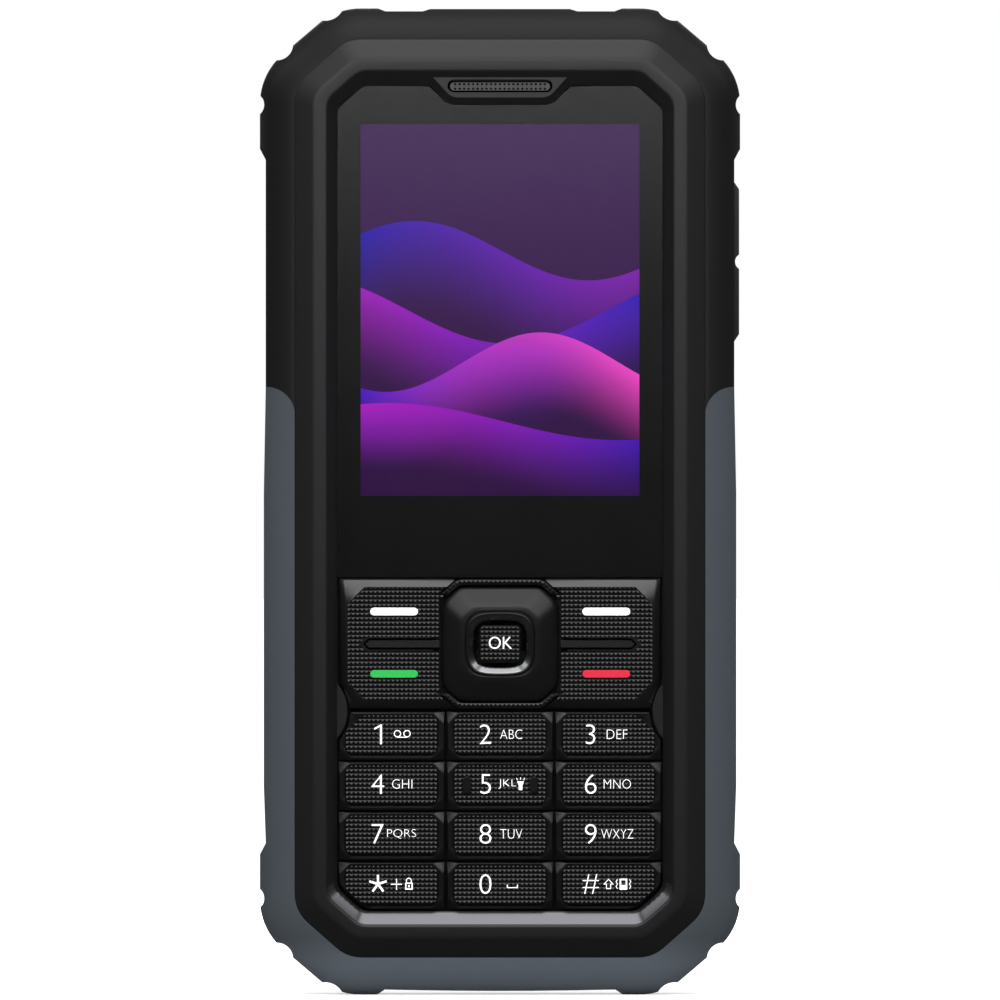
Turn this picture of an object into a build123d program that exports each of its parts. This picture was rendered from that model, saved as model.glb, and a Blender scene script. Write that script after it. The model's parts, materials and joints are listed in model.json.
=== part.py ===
from build123d import *
from math import hypot
import os

# A rugged keypad phone that stands on its foot. Sizes are in millimetres. X is to the right seen
# from the front, Z is up, the front looks along -Y and the origin is under the middle of the foot.
# A depth is a distance from the middle plane towards the front.

# Overall size
height = 130.0
width = 63.3
thickness = 17.0

# Rings of the front, from the outside in: guard, facet, lip and bevel
guard_side = 4.65
guard_top = 4.2
guard_foot = 5.0
facet_width = 2.5
facet_fall = 0.9
lip_width = 1.65
bevel_side = 1.4
bevel_end = 1.9
bevel_fall = 1.4
core_cut_x = 6.9
core_cut_z = 6.1
core_radius = 5.0

# Guard: silhouette, recessed sides, scallops and the seam between its two halves
guard_cut_x = 10.1
guard_cut_z = 8.6
guard_radius = 8.5
guard_land = 0.05
front_slope = 4.5
back_slope = 4.3
shoulder_share = 0.33
shoulder_fall = 1.4
guard_back_rise = 1.2
side_recess = 0.78
side_swell = 0.26
corner_height = 18.5
corner_ramp = 1.5
end_recess = 0.4
end_recess_share = 0.477
plateau_share = 0.2907
plateau_drop = 0.08
foot_recess = 0.68
foot_bow = 0.18
foot_recess_share = 0.48
end_ramp = 1.0
seam_share = 0.6162
seam_radius = 3.8
scallops = ((-1.09, 12.7, 1.66), (2.29, 4.76, 2.08), (8.67, -0.8, 2.43))

# Clearances
fit_gap = 0.05
slide_gap = 0.15
tilt_gap = 0.25

# Depth stack from the front
lens_drop = 1.3
lens_thickness = 0.8
adhesive_thickness = 0.2
adhesive_width = 1.2
ledge_thickness = 0.8
gasket_thickness = 0.3
display_thickness = 2.4
board_gap = 0.3
board_thickness = 1.0
part_room = 1.7
floor_thickness = 0.8

# Depth stack from the back
cover_thickness = 1.5
cover_proud = 0.4
cover_room = 0.3
back_wall = 1.2

# Walls
frame_wall = 2.8
board_margin = 4.2
ledge_margin = 1.2

# Screen: shares of the window above the keypad
screen_width_share = 0.856
screen_height_share = 0.7567
screen_top_share = 0.078
window_margin = 1.0
panel_gap = 0.5
panel_top = 2.4
panel_foot_gap = 1.1

# Earpiece
tongue_half_top = 9.25
tongue_half_foot = 6.3
tongue_rise = 1.2
tongue_drop = 1.5
tongue_bevel = 1.0
tongue_height = 0.7
slot_length = 13.6
slot_width = 1.45
mesh_pitch = 0.59
mesh_hole = 0.2
mesh_thickness = 0.3
receiver_length = 11.0
receiver_width = 4.6
receiver_thickness = 2.4

# Keypad: a share of the well's height, of which the function keys take a share
keypad_share = 0.4048
function_share = 0.4
digit_rows = 4
key_gap = 0.2
key_bevel = 0.75
cap_height = 1.8
pad_height = 0.5
pad_taper = 12.0
pad_side_margin = 1.05
pad_low_margin = 0.9
pad_high_margin = 0.7
pad_radius = 0.8
pad_cut_x = 2.3
pad_cut_z = 1.9
key_travel = 0.4
lug_radius = 5.5
lug_reach = 1.35
stem_length_share = 0.63
stem_width_share = 0.485
web_thickness = 0.6
web_room = 0.6
mat_rim = 1.0
mat_margin = 1.6
mat_cut_share = 0.8
mat_radius = 1.5
dome_share = 0.46
dome_height = 0.25

# Four-way key and its neighbours
nav_share = 0.36
nav_margin = 1.2
nav_cut_share_x = 0.324
nav_cut_share_z = 0.263
nav_radius = 1.2
nav_edge = 1.4
nav_rise = 1.1
crown_share_x = 0.648
crown_share_z = 0.605
ok_well_share = 0.912
ok_well_slope = 1.02
ok_well_depth = 0.9
ok_margin = 0.7
ok_radius = 0.7
ok_drop = 0.5
pad_plate = 0.8
pad_plate_margin = 1.5
ridge_width = 0.8
ridge_height = 0.3
nub_radius = 0.9
nub_margin = 0.2
band_width = 0.65
band_gap = 0.2
divider_height = 1.0
divider_margin = 3.4
function_stem_share = 0.43
function_reach_share = 0.233
plate_inner_share = 0.8
plate_corner = 2.3

# Volume rocker in the right side
rocker_share = 0.1623
rocker_margin = 1.4
rocker_rise = 0.65
rocker_depth = -0.5
rocker_proud = 0.67
rocker_waist = 1.9
rocker_waist_depth = 0.53
rocker_flange = 0.8
rocker_flange_lap = 0.7
rocker_post_radius = 0.8
rocker_post_share = 0.33
switch_thickness = 1.0
switch_width = 3.0

# Ports and their covers in the left side
port_rise = 4.65
cover_length = 11.9
flap_margin = 0.3
flap_depth = -0.6
flap_thickness = 1.7
flap_seat = 0.2
notch_radius = 0.6
plug_reach = 1.0
usb_width = 8.94
usb_height = 3.26
usb_length = 9.0
usb_wall = 0.3
usb_tongue = 0.7
usb_tongue_set_back = 1.7
jack_radius = 2.45
jack_bore = 1.8
jack_bore_length = 15.0
jack_lead_radius = 2.1
jack_lead_depth = 1.3
jack_body_length = 11.0
jack_body_width = 6.4
jack_body_thickness = 5.0

# Case screws
screw_radius = 0.8
screw_head_radius = 1.4
screw_head = 1.0
screw_seat_rise = 4.0
screw_bite = 2.4
column_radius = 2.3
boss_radius = 1.7
corner_screw_inset_x = 6.2
corner_screw_inset_z = 4.9
mid_screw_inset = 3.4
mid_screw_rise = 5.0
seal_inset = 1.0
seal_width = 0.7
seal_height = 0.6

# Battery bay and cover
battery_side = 3.4
battery_foot = 11.5
battery_head = 10.5
battery_gap = 0.3
bay_side = 6.4
bay_foot = 8.5
bay_cover_share = 0.681
bay_cover_cut = 4.0
bay_cover_radius = 2.5
cover_gap = 0.2
cover_screw_inset = 7.6
cover_screw_rise = 5.6
cover_screw_radius = 2.0
cover_screw_head_radius = 3.4
cover_screw_head = 0.9
cover_slot_width = 0.9
cover_slot_depth = 0.45
insert_radius = 3.0
insert_length = 3.2
cover_seal_inset = 1.2
cover_seal_width = 1.2
cover_seal_height = 0.5
contact_pitch = 3.0
contact_rise = 2.6

# Parts inside
room_wall = 2.8
room_top = 6.8
room_gap = 0.65
speaker_width = 11.0
speaker_thickness = 3.5
speaker_rise = 6.5
speaker_slots = 5
speaker_slot_pitch = 2.0
speaker_slot_width = 1.0
speaker_slot_margin = 2.0
camera_size = 8.6
camera_length = 4.2
camera_barrel_radius = 3.0
camera_drop = 13.3
camera_window_radius = 4.8
camera_window = 0.7
camera_hole_radius = 3.4
motor_radius = 4.4
motor_thickness = 2.8
motor_rise = 12.0
torch_length = 9.0
torch_width = 4.0
torch_depth = -0.6
torch_thickness = 3.0
led_size = 3.0
led_height = 0.9
mic_share = 0.444
mic_size = 3.0
mic_height = 1.0
mic_port = 0.6
can_share = 0.658
can_place_share = 0.39
can_height = 20.0
can_rise = 15.0
can_step = 30.0
sim_width = 17.0
sim_height = 1.3
sim_wall = 0.3
antenna_share = 0.48
antenna_width = 1.6
antenna_height = 1.2

# Levels and outlines that follow from these
front = thickness / 2
back = -thickness / 2
facet_depth = front - facet_fall
well_depth = front - bevel_fall
lens_front = front - lens_drop
lens_back = lens_front - lens_thickness
ledge_front = lens_back - adhesive_thickness
ledge_back = ledge_front - ledge_thickness
display_front = ledge_back - gasket_thickness
display_back = display_front - display_thickness
board_front = display_back - board_gap
board_back = board_front - board_thickness
floor_front = board_back - part_room
floor_back = floor_front - floor_thickness
cover_inner = back + cover_thickness
shell_back = back + cover_proud
room_back = shell_back + back_wall
battery_front = floor_back - battery_gap
battery_back = cover_inner + cover_room
flat_front = front - front_slope
flat_back = back + back_slope
screw_seat_depth = back + screw_seat_rise

half_width = width / 2
side_half = half_width - side_recess
core_half = half_width - guard_side
core_low = guard_foot
core_high = height - guard_top
well_side = facet_width + lip_width + bevel_side
well_end = facet_width + lip_width + bevel_end
well_half = core_half - well_side
well_low = core_low + well_end
well_high = core_high - well_end
end_recess_half = half_width * end_recess_share
plateau_half = half_width * plateau_share
foot_recess_half = half_width * foot_recess_share
seam_height = height * seam_share

keypad_height = (well_high - well_low) * keypad_share
function_height = keypad_height * function_share
row_pitch = (keypad_height - function_height) / digit_rows
column_pitch = 2 * well_half / 3
function_low = well_low + digit_rows * row_pitch
keypad_top = function_low + function_height
stem_length = column_pitch * stem_length_share
stem_width = row_pitch * stem_width_share
nav_z = function_low + function_height / 2
nav_half_x = well_half * nav_share
nav_half_z = function_height / 2 - nav_margin
nav_cut_x = nav_half_x * nav_cut_share_x
nav_cut_z = nav_half_z * nav_cut_share_z
nav_crown_x = nav_half_x * crown_share_x
nav_crown_z = nav_half_z * crown_share_z
ok_well_x = nav_crown_x * ok_well_share
ok_well_z = nav_crown_z * ok_well_share
ok_hole_x = ok_well_x - ok_well_slope
ok_hole_z = ok_well_z - ok_well_slope
ok_half_x = ok_hole_x - ok_margin
ok_half_z = ok_hole_z - ok_margin
pad_plate_x = nav_half_x - pad_plate_margin
pad_plate_z = nav_half_z - pad_plate_margin
nub_x = ok_hole_x + nub_radius + nub_margin
nub_z = ok_hole_z + nub_radius + nub_margin
dome_radius = min(nub_x, nub_z) * dome_share
plate_inner = nav_half_x * plate_inner_share
function_stem_length = (well_half - nav_half_x) * function_stem_share
function_stem_reach = function_height * function_reach_share

window_height = well_high - keypad_top
screen_width = 2 * well_half * screen_width_share
screen_height = window_height * screen_height_share
screen_high = well_high - window_height * screen_top_share
screen_low = screen_high - screen_height
screen_mid = (screen_high + screen_low) / 2
panel_low = keypad_top + mat_margin + panel_foot_gap
panel_high = screen_high + panel_top
panel_half = core_half - mid_screw_inset - boss_radius - panel_gap
tongue_top = well_high + tongue_rise
tongue_foot = well_high - tongue_drop
slot_z = (tongue_top + tongue_foot) / 2 + slot_width * 0.1

cap_bottom = ledge_back
cap_shoulder = cap_bottom + cap_height
pad_top = cap_shoulder + pad_height
web_front = cap_bottom - web_room
web_back = web_front - web_thickness
dome_top = board_front + dome_height
stem_tip = dome_top + key_travel + fit_gap
mat_low = well_low - mat_margin
mat_high = keypad_top + mat_margin
mat_half = well_half + mat_margin

silhouette = (half_width, 0.0, height, guard_cut_x, guard_cut_z, guard_radius)
core = (core_half, core_low, core_high, core_cut_x, core_cut_z, core_radius)
cut_rate = (core_cut_x + core_cut_z - hypot(core_cut_x, core_cut_z)) / (core_cut_x * core_cut_z)

corner_screws = [
    (side * (core_half - corner_screw_inset_x), z)
    for side in (-1, 1)
    for z in (core_low + corner_screw_inset_z, core_high - corner_screw_inset_z)
]
mid_screws = [(side * (core_half - mid_screw_inset), keypad_top + mid_screw_rise) for side in (-1, 1)]
case_screws = corner_screws + mid_screws
bay_cover_half = core_half - bay_side
bay_cover_low = core_low + bay_foot
bay_cover_high = height * bay_cover_share
battery_half = bay_cover_half - battery_side
battery_low = bay_cover_low + battery_foot
battery_high = bay_cover_high - battery_head
cover_screw_reach = bay_cover_half - cover_screw_inset
cover_screw_z = bay_cover_high - cover_screw_rise
lug_centres = [(side * (well_half - lug_reach + lug_radius), function_low) for side in (-1, 1)]
top_room_half = bay_cover_half
top_room_low = bay_cover_high + room_wall
top_room_high = core_high - room_top
camera_z = core_high - camera_drop
speaker_length = top_room_half - camera_size / 2 - 2 * room_gap
speaker_x = (top_room_half + camera_size / 2) / 2
speaker_z = top_room_low + speaker_rise
speaker_slot_length = speaker_length - 2 * speaker_slot_margin
motor_z = core_low + motor_rise
mic_x = core_half * mic_share
antenna_half = core_half * antenna_share
board_half = core_half - board_margin
can_width = board_half * can_share
can_x = board_half * can_place_share
can_low = battery_low + can_rise
can_high = can_low + can_step
rocker_length = height * rocker_share
rocker_width = flat_front - flat_back - 2 * rocker_margin
rocker_post_reach = rocker_length * rocker_post_share
flap_width = flat_front - flat_back - 2 * flap_margin
port_height = top_room_low + port_rise
rocker_height = port_height + rocker_rise
usb_z = port_height - cover_length / 2
jack_z = port_height + cover_length / 2
usb_depth = board_back - usb_height / 2
jack_depth = board_back - jack_body_thickness / 2
port_floor = side_half - flap_thickness - flap_seat


def at_depth(depth):
    """A sketch plane seen from the front, with x to the right and y up."""
    return Plane.XZ.offset(depth)


def at_side(x):
    """A sketch plane across the phone, with x to the back and y up."""
    return Plane.YZ.offset(x)


class CutRectangle(BaseSketchObject):
    """A rectangle from low to high whose four corners are cut at a slant and then rounded."""

    def __init__(self, half, low, high, cut_x, cut_z, radius, mode=Mode.ADD):
        with BuildSketch() as outline:
            with BuildLine():
                Polyline(
                    (half, low + cut_z), (half, high - cut_z),
                    (half - cut_x, high), (cut_x - half, high),
                    (-half, high - cut_z), (-half, low + cut_z),
                    (cut_x - half, low), (half - cut_x, low),
                    close=True,
                )
            make_face()
            fillet(outline.vertices(), radius)
        super().__init__(obj=outline.sketch, mode=mode)


class GuardOutline(CutRectangle):
    """The outline a share of the way in from the silhouette to the core."""

    def __init__(self, share=0.0, mode=Mode.ADD):
        super().__init__(*(a + (b - a) * share for a, b in zip(silhouette, core)), mode=mode)


class RimOutline(CutRectangle):
    """The core's outline, set in by one width at the sides and another at the ends."""

    def __init__(self, side=0.0, end=None, mode=Mode.ADD):
        end = side if end is None else end
        share = 1 - side * cut_rate
        super().__init__(
            core_half - side, core_low + end, core_high - end,
            core_cut_x * share, core_cut_z * share, core_radius - side / 2, mode=mode,
        )


class NavOutline(CutRectangle):
    """The four-way key's outline, grown by a margin."""

    def __init__(self, grow=0.0, mode=Mode.ADD):
        super().__init__(
            nav_half_x + grow, nav_z - nav_half_z - grow, nav_z + nav_half_z + grow,
            nav_cut_x + grow * 0.6, nav_cut_z + grow * 0.6, nav_radius + grow / 2, mode=mode,
        )


class MatOutline(CutRectangle):
    """The keypad mat's outline set in by a width: cut corners at the foot, square ones at the top."""

    def __init__(self, inset=0.0, mode=Mode.ADD):
        share = mat_cut_share - inset * cut_rate
        cut_x, cut_z = core_cut_x * share, core_cut_z * share
        with BuildSketch() as outline:
            CutRectangle(mat_half - inset, mat_low + inset, mat_high + 2 * cut_z, cut_x, cut_z,
                         mat_radius - inset / 2)
            with Locations((0, mat_high - inset)):
                Rectangle(width, height, align=(Align.CENTER, Align.MAX), mode=Mode.INTERSECT)
        super(CutRectangle, self).__init__(obj=outline.sketch, mode=mode)


class BarOutline(BaseSketchObject):
    """The bar beside the four-way key, pointed at its outer end and grown by a margin."""

    def __init__(self, side, grow=0.0, mode=Mode.ADD):
        half = divider_height / 2 + grow
        inner = nav_half_x + tilt_gap - grow
        point = well_half - tilt_gap - divider_margin + grow
        with BuildSketch() as outline:
            with BuildLine():
                Polyline(
                    (side * inner, nav_z - half), (side * (point - half), nav_z - half),
                    (side * point, nav_z), (side * (point - half), nav_z + half),
                    (side * inner, nav_z + half), close=True,
                )
            make_face()
        super().__init__(obj=outline.sketch, mode=mode)


class BayOutline(CutRectangle):
    """The battery cover's outline, set in by a width."""

    def __init__(self, inset=0.0, mode=Mode.ADD):
        super().__init__(
            bay_cover_half - inset, bay_cover_low + inset, bay_cover_high - inset,
            bay_cover_cut - inset * 0.6, bay_cover_cut - inset * 0.6, bay_cover_radius - inset / 2,
            mode=mode,
        )


class PadOutline(BaseSketchObject):
    """A key pad's rounded outline; cut names the side and end of a corner that is cut at a slant."""

    def __init__(self, length, height, cut=None, mode=Mode.ADD):
        x, z = length / 2, height / 2
        corners = {
            (side, end): ([(side * x, end * (z - pad_cut_z)), (side * (x - pad_cut_x), end * z)]
                          if (side, end) == cut else [(side * x, end * z)])
            for side, end in ((1, -1), (1, 1), (-1, 1), (-1, -1))
        }
        points = [
            point
            for (side, end), pair in corners.items()
            for point in (pair if side == end else reversed(pair))
        ]
        with BuildSketch() as outline:
            with BuildLine():
                Polyline(*points, close=True)
            make_face()
            fillet(outline.vertices(), pad_radius)
        super().__init__(obj=outline.sketch, mode=mode)


class Trapezoid4(BaseSketchObject):
    """A four-sided outline, level at its top and foot and even about the middle."""

    def __init__(self, half_foot, low, half_top, high, mode=Mode.ADD):
        with BuildSketch() as outline:
            with BuildLine():
                Polyline((-half_foot, low), (half_foot, low), (half_top, high), (-half_top, high),
                         close=True)
            make_face()
        super().__init__(obj=outline.sketch, mode=mode)


def save(builder, name):
    """Name a finished piece and write it."""
    builder.part.label = name
    export_step(builder.part, f"parts/{name}.step")


os.makedirs("parts", exist_ok=True)

# The whole guard, before it is parted into its upper and lower halves
with BuildPart() as guard:
    with BuildSketch(at_depth(flat_back)):
        GuardOutline()
    extrude(amount=flat_front - flat_back)
    with BuildSketch(at_depth(flat_front)):
        GuardOutline()
    with BuildSketch(at_depth(facet_depth - shoulder_fall)):
        GuardOutline(shoulder_share)
    with BuildSketch(at_depth(facet_depth)):
        GuardOutline(1 - guard_land)
    loft()
    with BuildSketch(at_depth(flat_back)):
        GuardOutline()
    with BuildSketch(at_depth(shell_back + guard_back_rise + shoulder_fall)):
        GuardOutline(shoulder_share)
    with BuildSketch(at_depth(shell_back + guard_back_rise)):
        GuardOutline(1 - guard_land)
    loft()
    # Recessed sides, swelling a little below the seam
    swell_half = side_half + side_swell
    with BuildSketch(at_depth(0)):
        with BuildLine():
            Polyline(
                (half_width + 1, corner_height), (half_width, corner_height),
                (side_half, corner_height + corner_ramp), (swell_half, corner_height + 9),
                (swell_half, seam_height - 14), (side_half, seam_height),
                (side_half, height - corner_height - corner_ramp),
                (half_width, height - corner_height), (half_width + 1, height - corner_height),
                close=True,
            )
        make_face()
        mirror(about=Plane.YZ)
    extrude(amount=thickness, both=True, mode=Mode.SUBTRACT)
    # Recessed top with the torch plateau, and the bowed recess under the foot
    with BuildSketch(at_depth(0)):
        Trapezoid4(end_recess_half, height - end_recess, end_recess_half + 2 * end_ramp, height + end_recess)
        Trapezoid4(plateau_half + end_ramp, height - end_recess, plateau_half, height - plateau_drop,
                   mode=Mode.SUBTRACT)
        with BuildLine():
            bow = ThreePointArc((-foot_recess_half, foot_recess), (0, foot_recess - foot_bow),
                                (foot_recess_half, foot_recess))
            Polyline(bow @ 1, (foot_recess_half + end_ramp, 0), (foot_recess_half + end_ramp, -1),
                     (-foot_recess_half - end_ramp, -1), (-foot_recess_half - end_ramp, 0), bow @ 0)
        make_face()
    extrude(amount=thickness, both=True, mode=Mode.SUBTRACT)
    # Scallops in the four corners
    with BuildSketch(at_depth(0)):
        for inset, rise, radius in scallops:
            with Locations((half_width - inset, rise), (half_width - inset, height - rise)):
                Circle(radius)
        mirror(about=Plane.YZ)
    extrude(amount=thickness, both=True, mode=Mode.SUBTRACT)
    with BuildSketch(at_depth(0)):
        RimOutline(-fit_gap)
    extrude(amount=thickness, both=True, mode=Mode.SUBTRACT)

# Region of the lower guard: a foot and two arms with rounded inner ends
with BuildSketch(at_depth(0)) as lower_region:
    arm = half_width + 1 - core_half
    with Locations((core_half + arm / 2, seam_height / 2 - 1), (-core_half - arm / 2, seam_height / 2 - 1)):
        Rectangle(arm, seam_height + 2)
    fillet(
        lower_region.vertices().filter_by_position(Axis.X, -core_half - 0.1, core_half + 0.1)
        .group_by(Axis.Y)[-1], seam_radius,
    )
    with Locations((0, core_low)):
        Rectangle(2 * core_half + 1, 2 * core_low + 8)

with BuildPart() as lower_bumper:
    add(guard.part)
    extrude(lower_region.sketch, amount=thickness, both=True, mode=Mode.INTERSECT)
    with BuildSketch(Plane.XY):
        with Locations((mic_x, -(board_back - mic_height / 2))):
            Circle(mic_port)
    extrude(amount=core_low + 1, mode=Mode.SUBTRACT)
save(lower_bumper, "lower_bumper")

with BuildPart() as upper_bumper:
    add(guard.part)
    extrude(lower_region.sketch, amount=thickness, both=True, mode=Mode.SUBTRACT)
    # Seat of the two port covers, with a nail notch where they meet, and the port holes
    with BuildSketch(at_side(-port_floor)):
        with Locations((-flap_depth, port_height)):
            Rectangle(flap_width + 2 * slide_gap, 2 * cover_length + 2 * slide_gap)
    extrude(amount=-guard_side, mode=Mode.SUBTRACT)
    with BuildSketch(at_side(-port_floor - fit_gap)):
        with Locations((-usb_depth, usb_z)):
            SlotOverall(usb_width + 2 * slide_gap, usb_height + 2 * slide_gap, rotation=90)
        with Locations((-jack_depth, jack_z)):
            Circle(jack_radius + slide_gap)
    extrude(amount=guard_side, mode=Mode.SUBTRACT)
    # Opening of the volume rocker, with room behind for its flange
    with BuildSketch(at_side(core_half)):
        with Locations((-rocker_depth, rocker_height)):
            Rectangle(rocker_width + 2 * tilt_gap, rocker_length + 2 * tilt_gap)
    extrude(amount=guard_side + 1, mode=Mode.SUBTRACT)
    with BuildSketch(at_side(core_half)):
        with Locations((-rocker_depth, rocker_height)):
            Rectangle(
                rocker_width + 2 * (rocker_flange_lap + tilt_gap),
                rocker_length + 2 * (rocker_flange_lap + tilt_gap),
            )
    extrude(amount=rocker_flange + 4 * tilt_gap, mode=Mode.SUBTRACT)
    # Window of the torch
    with BuildSketch(Plane.XY.offset(core_high)):
        with Locations((0, -torch_depth)):
            RectangleRounded(torch_length + 2 * fit_gap, torch_width + 2 * fit_gap, 1.0)
    extrude(amount=guard_top + 1, mode=Mode.SUBTRACT)
save(upper_bumper, "upper_bumper")

# Front frame: facet, lip, bevelled well, lens seat, keypad opening and earpiece tongue
with BuildPart() as front_frame:
    with BuildSketch(at_depth(board_front)):
        RimOutline()
    extrude(amount=facet_depth - board_front)
    with BuildSketch(at_depth(facet_depth)):
        RimOutline()
    with BuildSketch(at_depth(front)):
        RimOutline(facet_width)
    loft(ruled=True)
    with BuildSketch(at_depth(front)):
        RimOutline(facet_width + lip_width)
    with BuildSketch(at_depth(well_depth)):
        RimOutline(well_side, well_end)
    loft(ruled=True, mode=Mode.SUBTRACT)
    with BuildSketch(at_depth(ledge_front)):
        RimOutline(well_side, well_end)
        with Locations((0, keypad_top)):
            Rectangle(width, height, align=(Align.CENTER, Align.MIN), mode=Mode.INTERSECT)
    extrude(amount=well_depth - ledge_front, mode=Mode.SUBTRACT)
    with BuildSketch(at_depth(board_front)):
        RimOutline(frame_wall)
    extrude(amount=ledge_back - board_front, mode=Mode.SUBTRACT)
    with BuildSketch(at_depth(ledge_back)):
        with Locations((0, screen_mid)):
            Rectangle(screen_width + 2 * window_margin, screen_height + 2 * window_margin)
    extrude(amount=ledge_thickness, mode=Mode.SUBTRACT)
    with BuildSketch(at_depth(ledge_back)):
        RimOutline(well_side, well_end)
        with Locations((0, keypad_top)):
            Rectangle(width, height, align=(Align.CENTER, Align.MAX), mode=Mode.INTERSECT)
        with Locations(*lug_centres):
            Circle(lug_radius, mode=Mode.SUBTRACT)
    extrude(amount=well_depth - ledge_back, mode=Mode.SUBTRACT)
    # Tongue of the earpiece, with its slot through to the receiver
    with BuildSketch(at_depth(ledge_front)):
        Trapezoid4(tongue_half_foot + tongue_bevel, tongue_foot - tongue_bevel,
                   tongue_half_top + tongue_bevel, tongue_top)
    with BuildSketch(at_depth(lens_front + tongue_height)):
        Trapezoid4(tongue_half_foot, tongue_foot, tongue_half_top, tongue_top)
    loft(ruled=True)
    with BuildSketch(at_depth(ledge_back)):
        with Locations((0, slot_z)):
            SlotOverall(slot_length, slot_width)
    extrude(amount=front, mode=Mode.SUBTRACT)
    # Bosses for the case screws
    with BuildSketch(at_depth(board_front)):
        with Locations(*case_screws):
            Circle(boss_radius)
    extrude(amount=ledge_back - board_front)
    with BuildSketch(at_depth(board_front)):
        with Locations(*case_screws):
            Circle(screw_radius + fit_gap)
    extrude(amount=screw_bite + fit_gap, mode=Mode.SUBTRACT)
save(front_frame, "front_frame")

# Rear housing: a shell with room for the board, the battery bay and the cover's seat
with BuildPart() as rear_housing:
    with BuildSketch(at_depth(shell_back)):
        RimOutline()
    extrude(amount=board_front - shell_back)
    chamfer(rear_housing.faces().sort_by(Axis.Y)[-1].edges(), guard_back_rise)
    with BuildSketch(at_depth(board_back)):
        RimOutline(board_margin - slide_gap)
    extrude(amount=board_thickness, mode=Mode.SUBTRACT)
    with BuildSketch(at_depth(floor_front)):
        RimOutline(board_margin + ledge_margin)
    extrude(amount=part_room, mode=Mode.SUBTRACT)
    with BuildSketch(at_depth(room_back)):
        with Locations((0, (top_room_low + top_room_high) / 2)):
            Rectangle(2 * top_room_half, top_room_high - top_room_low)
        with Locations(*corner_screws):
            Circle(column_radius, mode=Mode.SUBTRACT)
    extrude(amount=floor_front - room_back, mode=Mode.SUBTRACT)
    with BuildSketch(at_depth(board_back - motor_thickness - slide_gap)):
        with Locations((0, motor_z)):
            Circle(motor_radius + slide_gap)
    extrude(amount=motor_thickness, mode=Mode.SUBTRACT)
    with BuildSketch(at_depth(board_back)):
        with Locations(*case_screws):
            Circle(column_radius)
    extrude(amount=floor_front - board_back)
    with BuildSketch(at_depth(board_back)):
        with Locations(*mid_screws):
            Circle(boss_radius)
    extrude(amount=board_thickness)
    # Battery bay, cover seat and its gasket groove
    with BuildSketch(at_depth(floor_back)):
        with Locations((0, (battery_low + battery_high) / 2)):
            Rectangle(2 * (battery_half + battery_gap), battery_high - battery_low + 2 * battery_gap)
    extrude(amount=back - floor_back, mode=Mode.SUBTRACT)
    with BuildSketch(at_depth(cover_inner)):
        BayOutline(-cover_gap)
    extrude(amount=-cover_thickness, mode=Mode.SUBTRACT)
    with BuildSketch(at_depth(cover_inner + cover_seal_height)):
        BayOutline(cover_seal_inset)
        BayOutline(cover_seal_inset + cover_seal_width, mode=Mode.SUBTRACT)
    extrude(amount=-cover_seal_height, mode=Mode.SUBTRACT)
    # Pockets of the cover's inserts
    with BuildSketch(at_depth(cover_inner)):
        with Locations((-cover_screw_reach, cover_screw_z), (cover_screw_reach, cover_screw_z)):
            Circle(insert_radius)
    extrude(amount=insert_length, mode=Mode.SUBTRACT)
    # Counterbored holes of the case screws
    with BuildSketch(at_depth(back)):
        with Locations(*case_screws):
            Circle(screw_head_radius + slide_gap)
    extrude(amount=screw_seat_depth - back, mode=Mode.SUBTRACT)
    with BuildSketch(at_depth(back)):
        with Locations(*case_screws):
            Circle(screw_radius + fit_gap)
    extrude(amount=thickness, mode=Mode.SUBTRACT)
    # Groove of the case seal
    with BuildSketch(at_depth(board_front - seal_height)):
        RimOutline(seal_inset)
        RimOutline(seal_inset + seal_width, mode=Mode.SUBTRACT)
    extrude(amount=seal_height, mode=Mode.SUBTRACT)
    # Port holes on the left and post holes of the rocker on the right
    with BuildSketch(at_side(-core_half)):
        with Locations((-usb_depth, usb_z)):
            SlotOverall(usb_width + 2 * slide_gap, usb_height + 2 * slide_gap, rotation=90)
        with Locations((-jack_depth, jack_z)):
            Circle(jack_radius + slide_gap)
    extrude(amount=core_half - top_room_half + 1, mode=Mode.SUBTRACT)
    with BuildSketch(at_side(core_half)):
        with Locations(
            (-rocker_depth, rocker_height - rocker_post_reach),
            (-rocker_depth, rocker_height + rocker_post_reach),
        ):
            Circle(rocker_post_radius + 2 * tilt_gap)
    extrude(amount=top_room_half - core_half, mode=Mode.SUBTRACT)
    # Pocket of the switch strip
    with BuildSketch(at_side(top_room_half)):
        with Locations((-rocker_depth, rocker_height)):
            Rectangle(switch_width + 2 * slide_gap, 2 * rocker_post_reach + switch_width + 2 * slide_gap)
    extrude(amount=-(2 * tilt_gap + switch_thickness + fit_gap), mode=Mode.SUBTRACT)
    # Camera window seat and hole, loudspeaker slots, microphone port
    with BuildSketch(at_depth(shell_back)):
        with Locations((0, camera_z)):
            Circle(camera_window_radius + fit_gap)
    extrude(amount=camera_window, mode=Mode.SUBTRACT)
    with BuildSketch(at_depth(shell_back)):
        with Locations((0, camera_z)):
            Circle(camera_hole_radius)
        with Locations((speaker_x, speaker_z)):
            with GridLocations(0, speaker_slot_pitch, 1, speaker_slots):
                SlotOverall(speaker_slot_length, speaker_slot_width)
    extrude(amount=back_wall, mode=Mode.SUBTRACT)
    with BuildSketch(Plane.XY.offset(core_low)):
        with Locations((mic_x, -(board_back - mic_height / 2))):
            Circle(mic_port)
    extrude(amount=board_margin + ledge_margin, mode=Mode.SUBTRACT)
save(rear_housing, "rear_housing")

with BuildPart() as housing_seal:
    with BuildSketch(at_depth(board_front - seal_height)):
        RimOutline(seal_inset + fit_gap)
        RimOutline(seal_inset + seal_width - fit_gap, mode=Mode.SUBTRACT)
    extrude(amount=seal_height)
save(housing_seal, "housing_seal")

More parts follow.
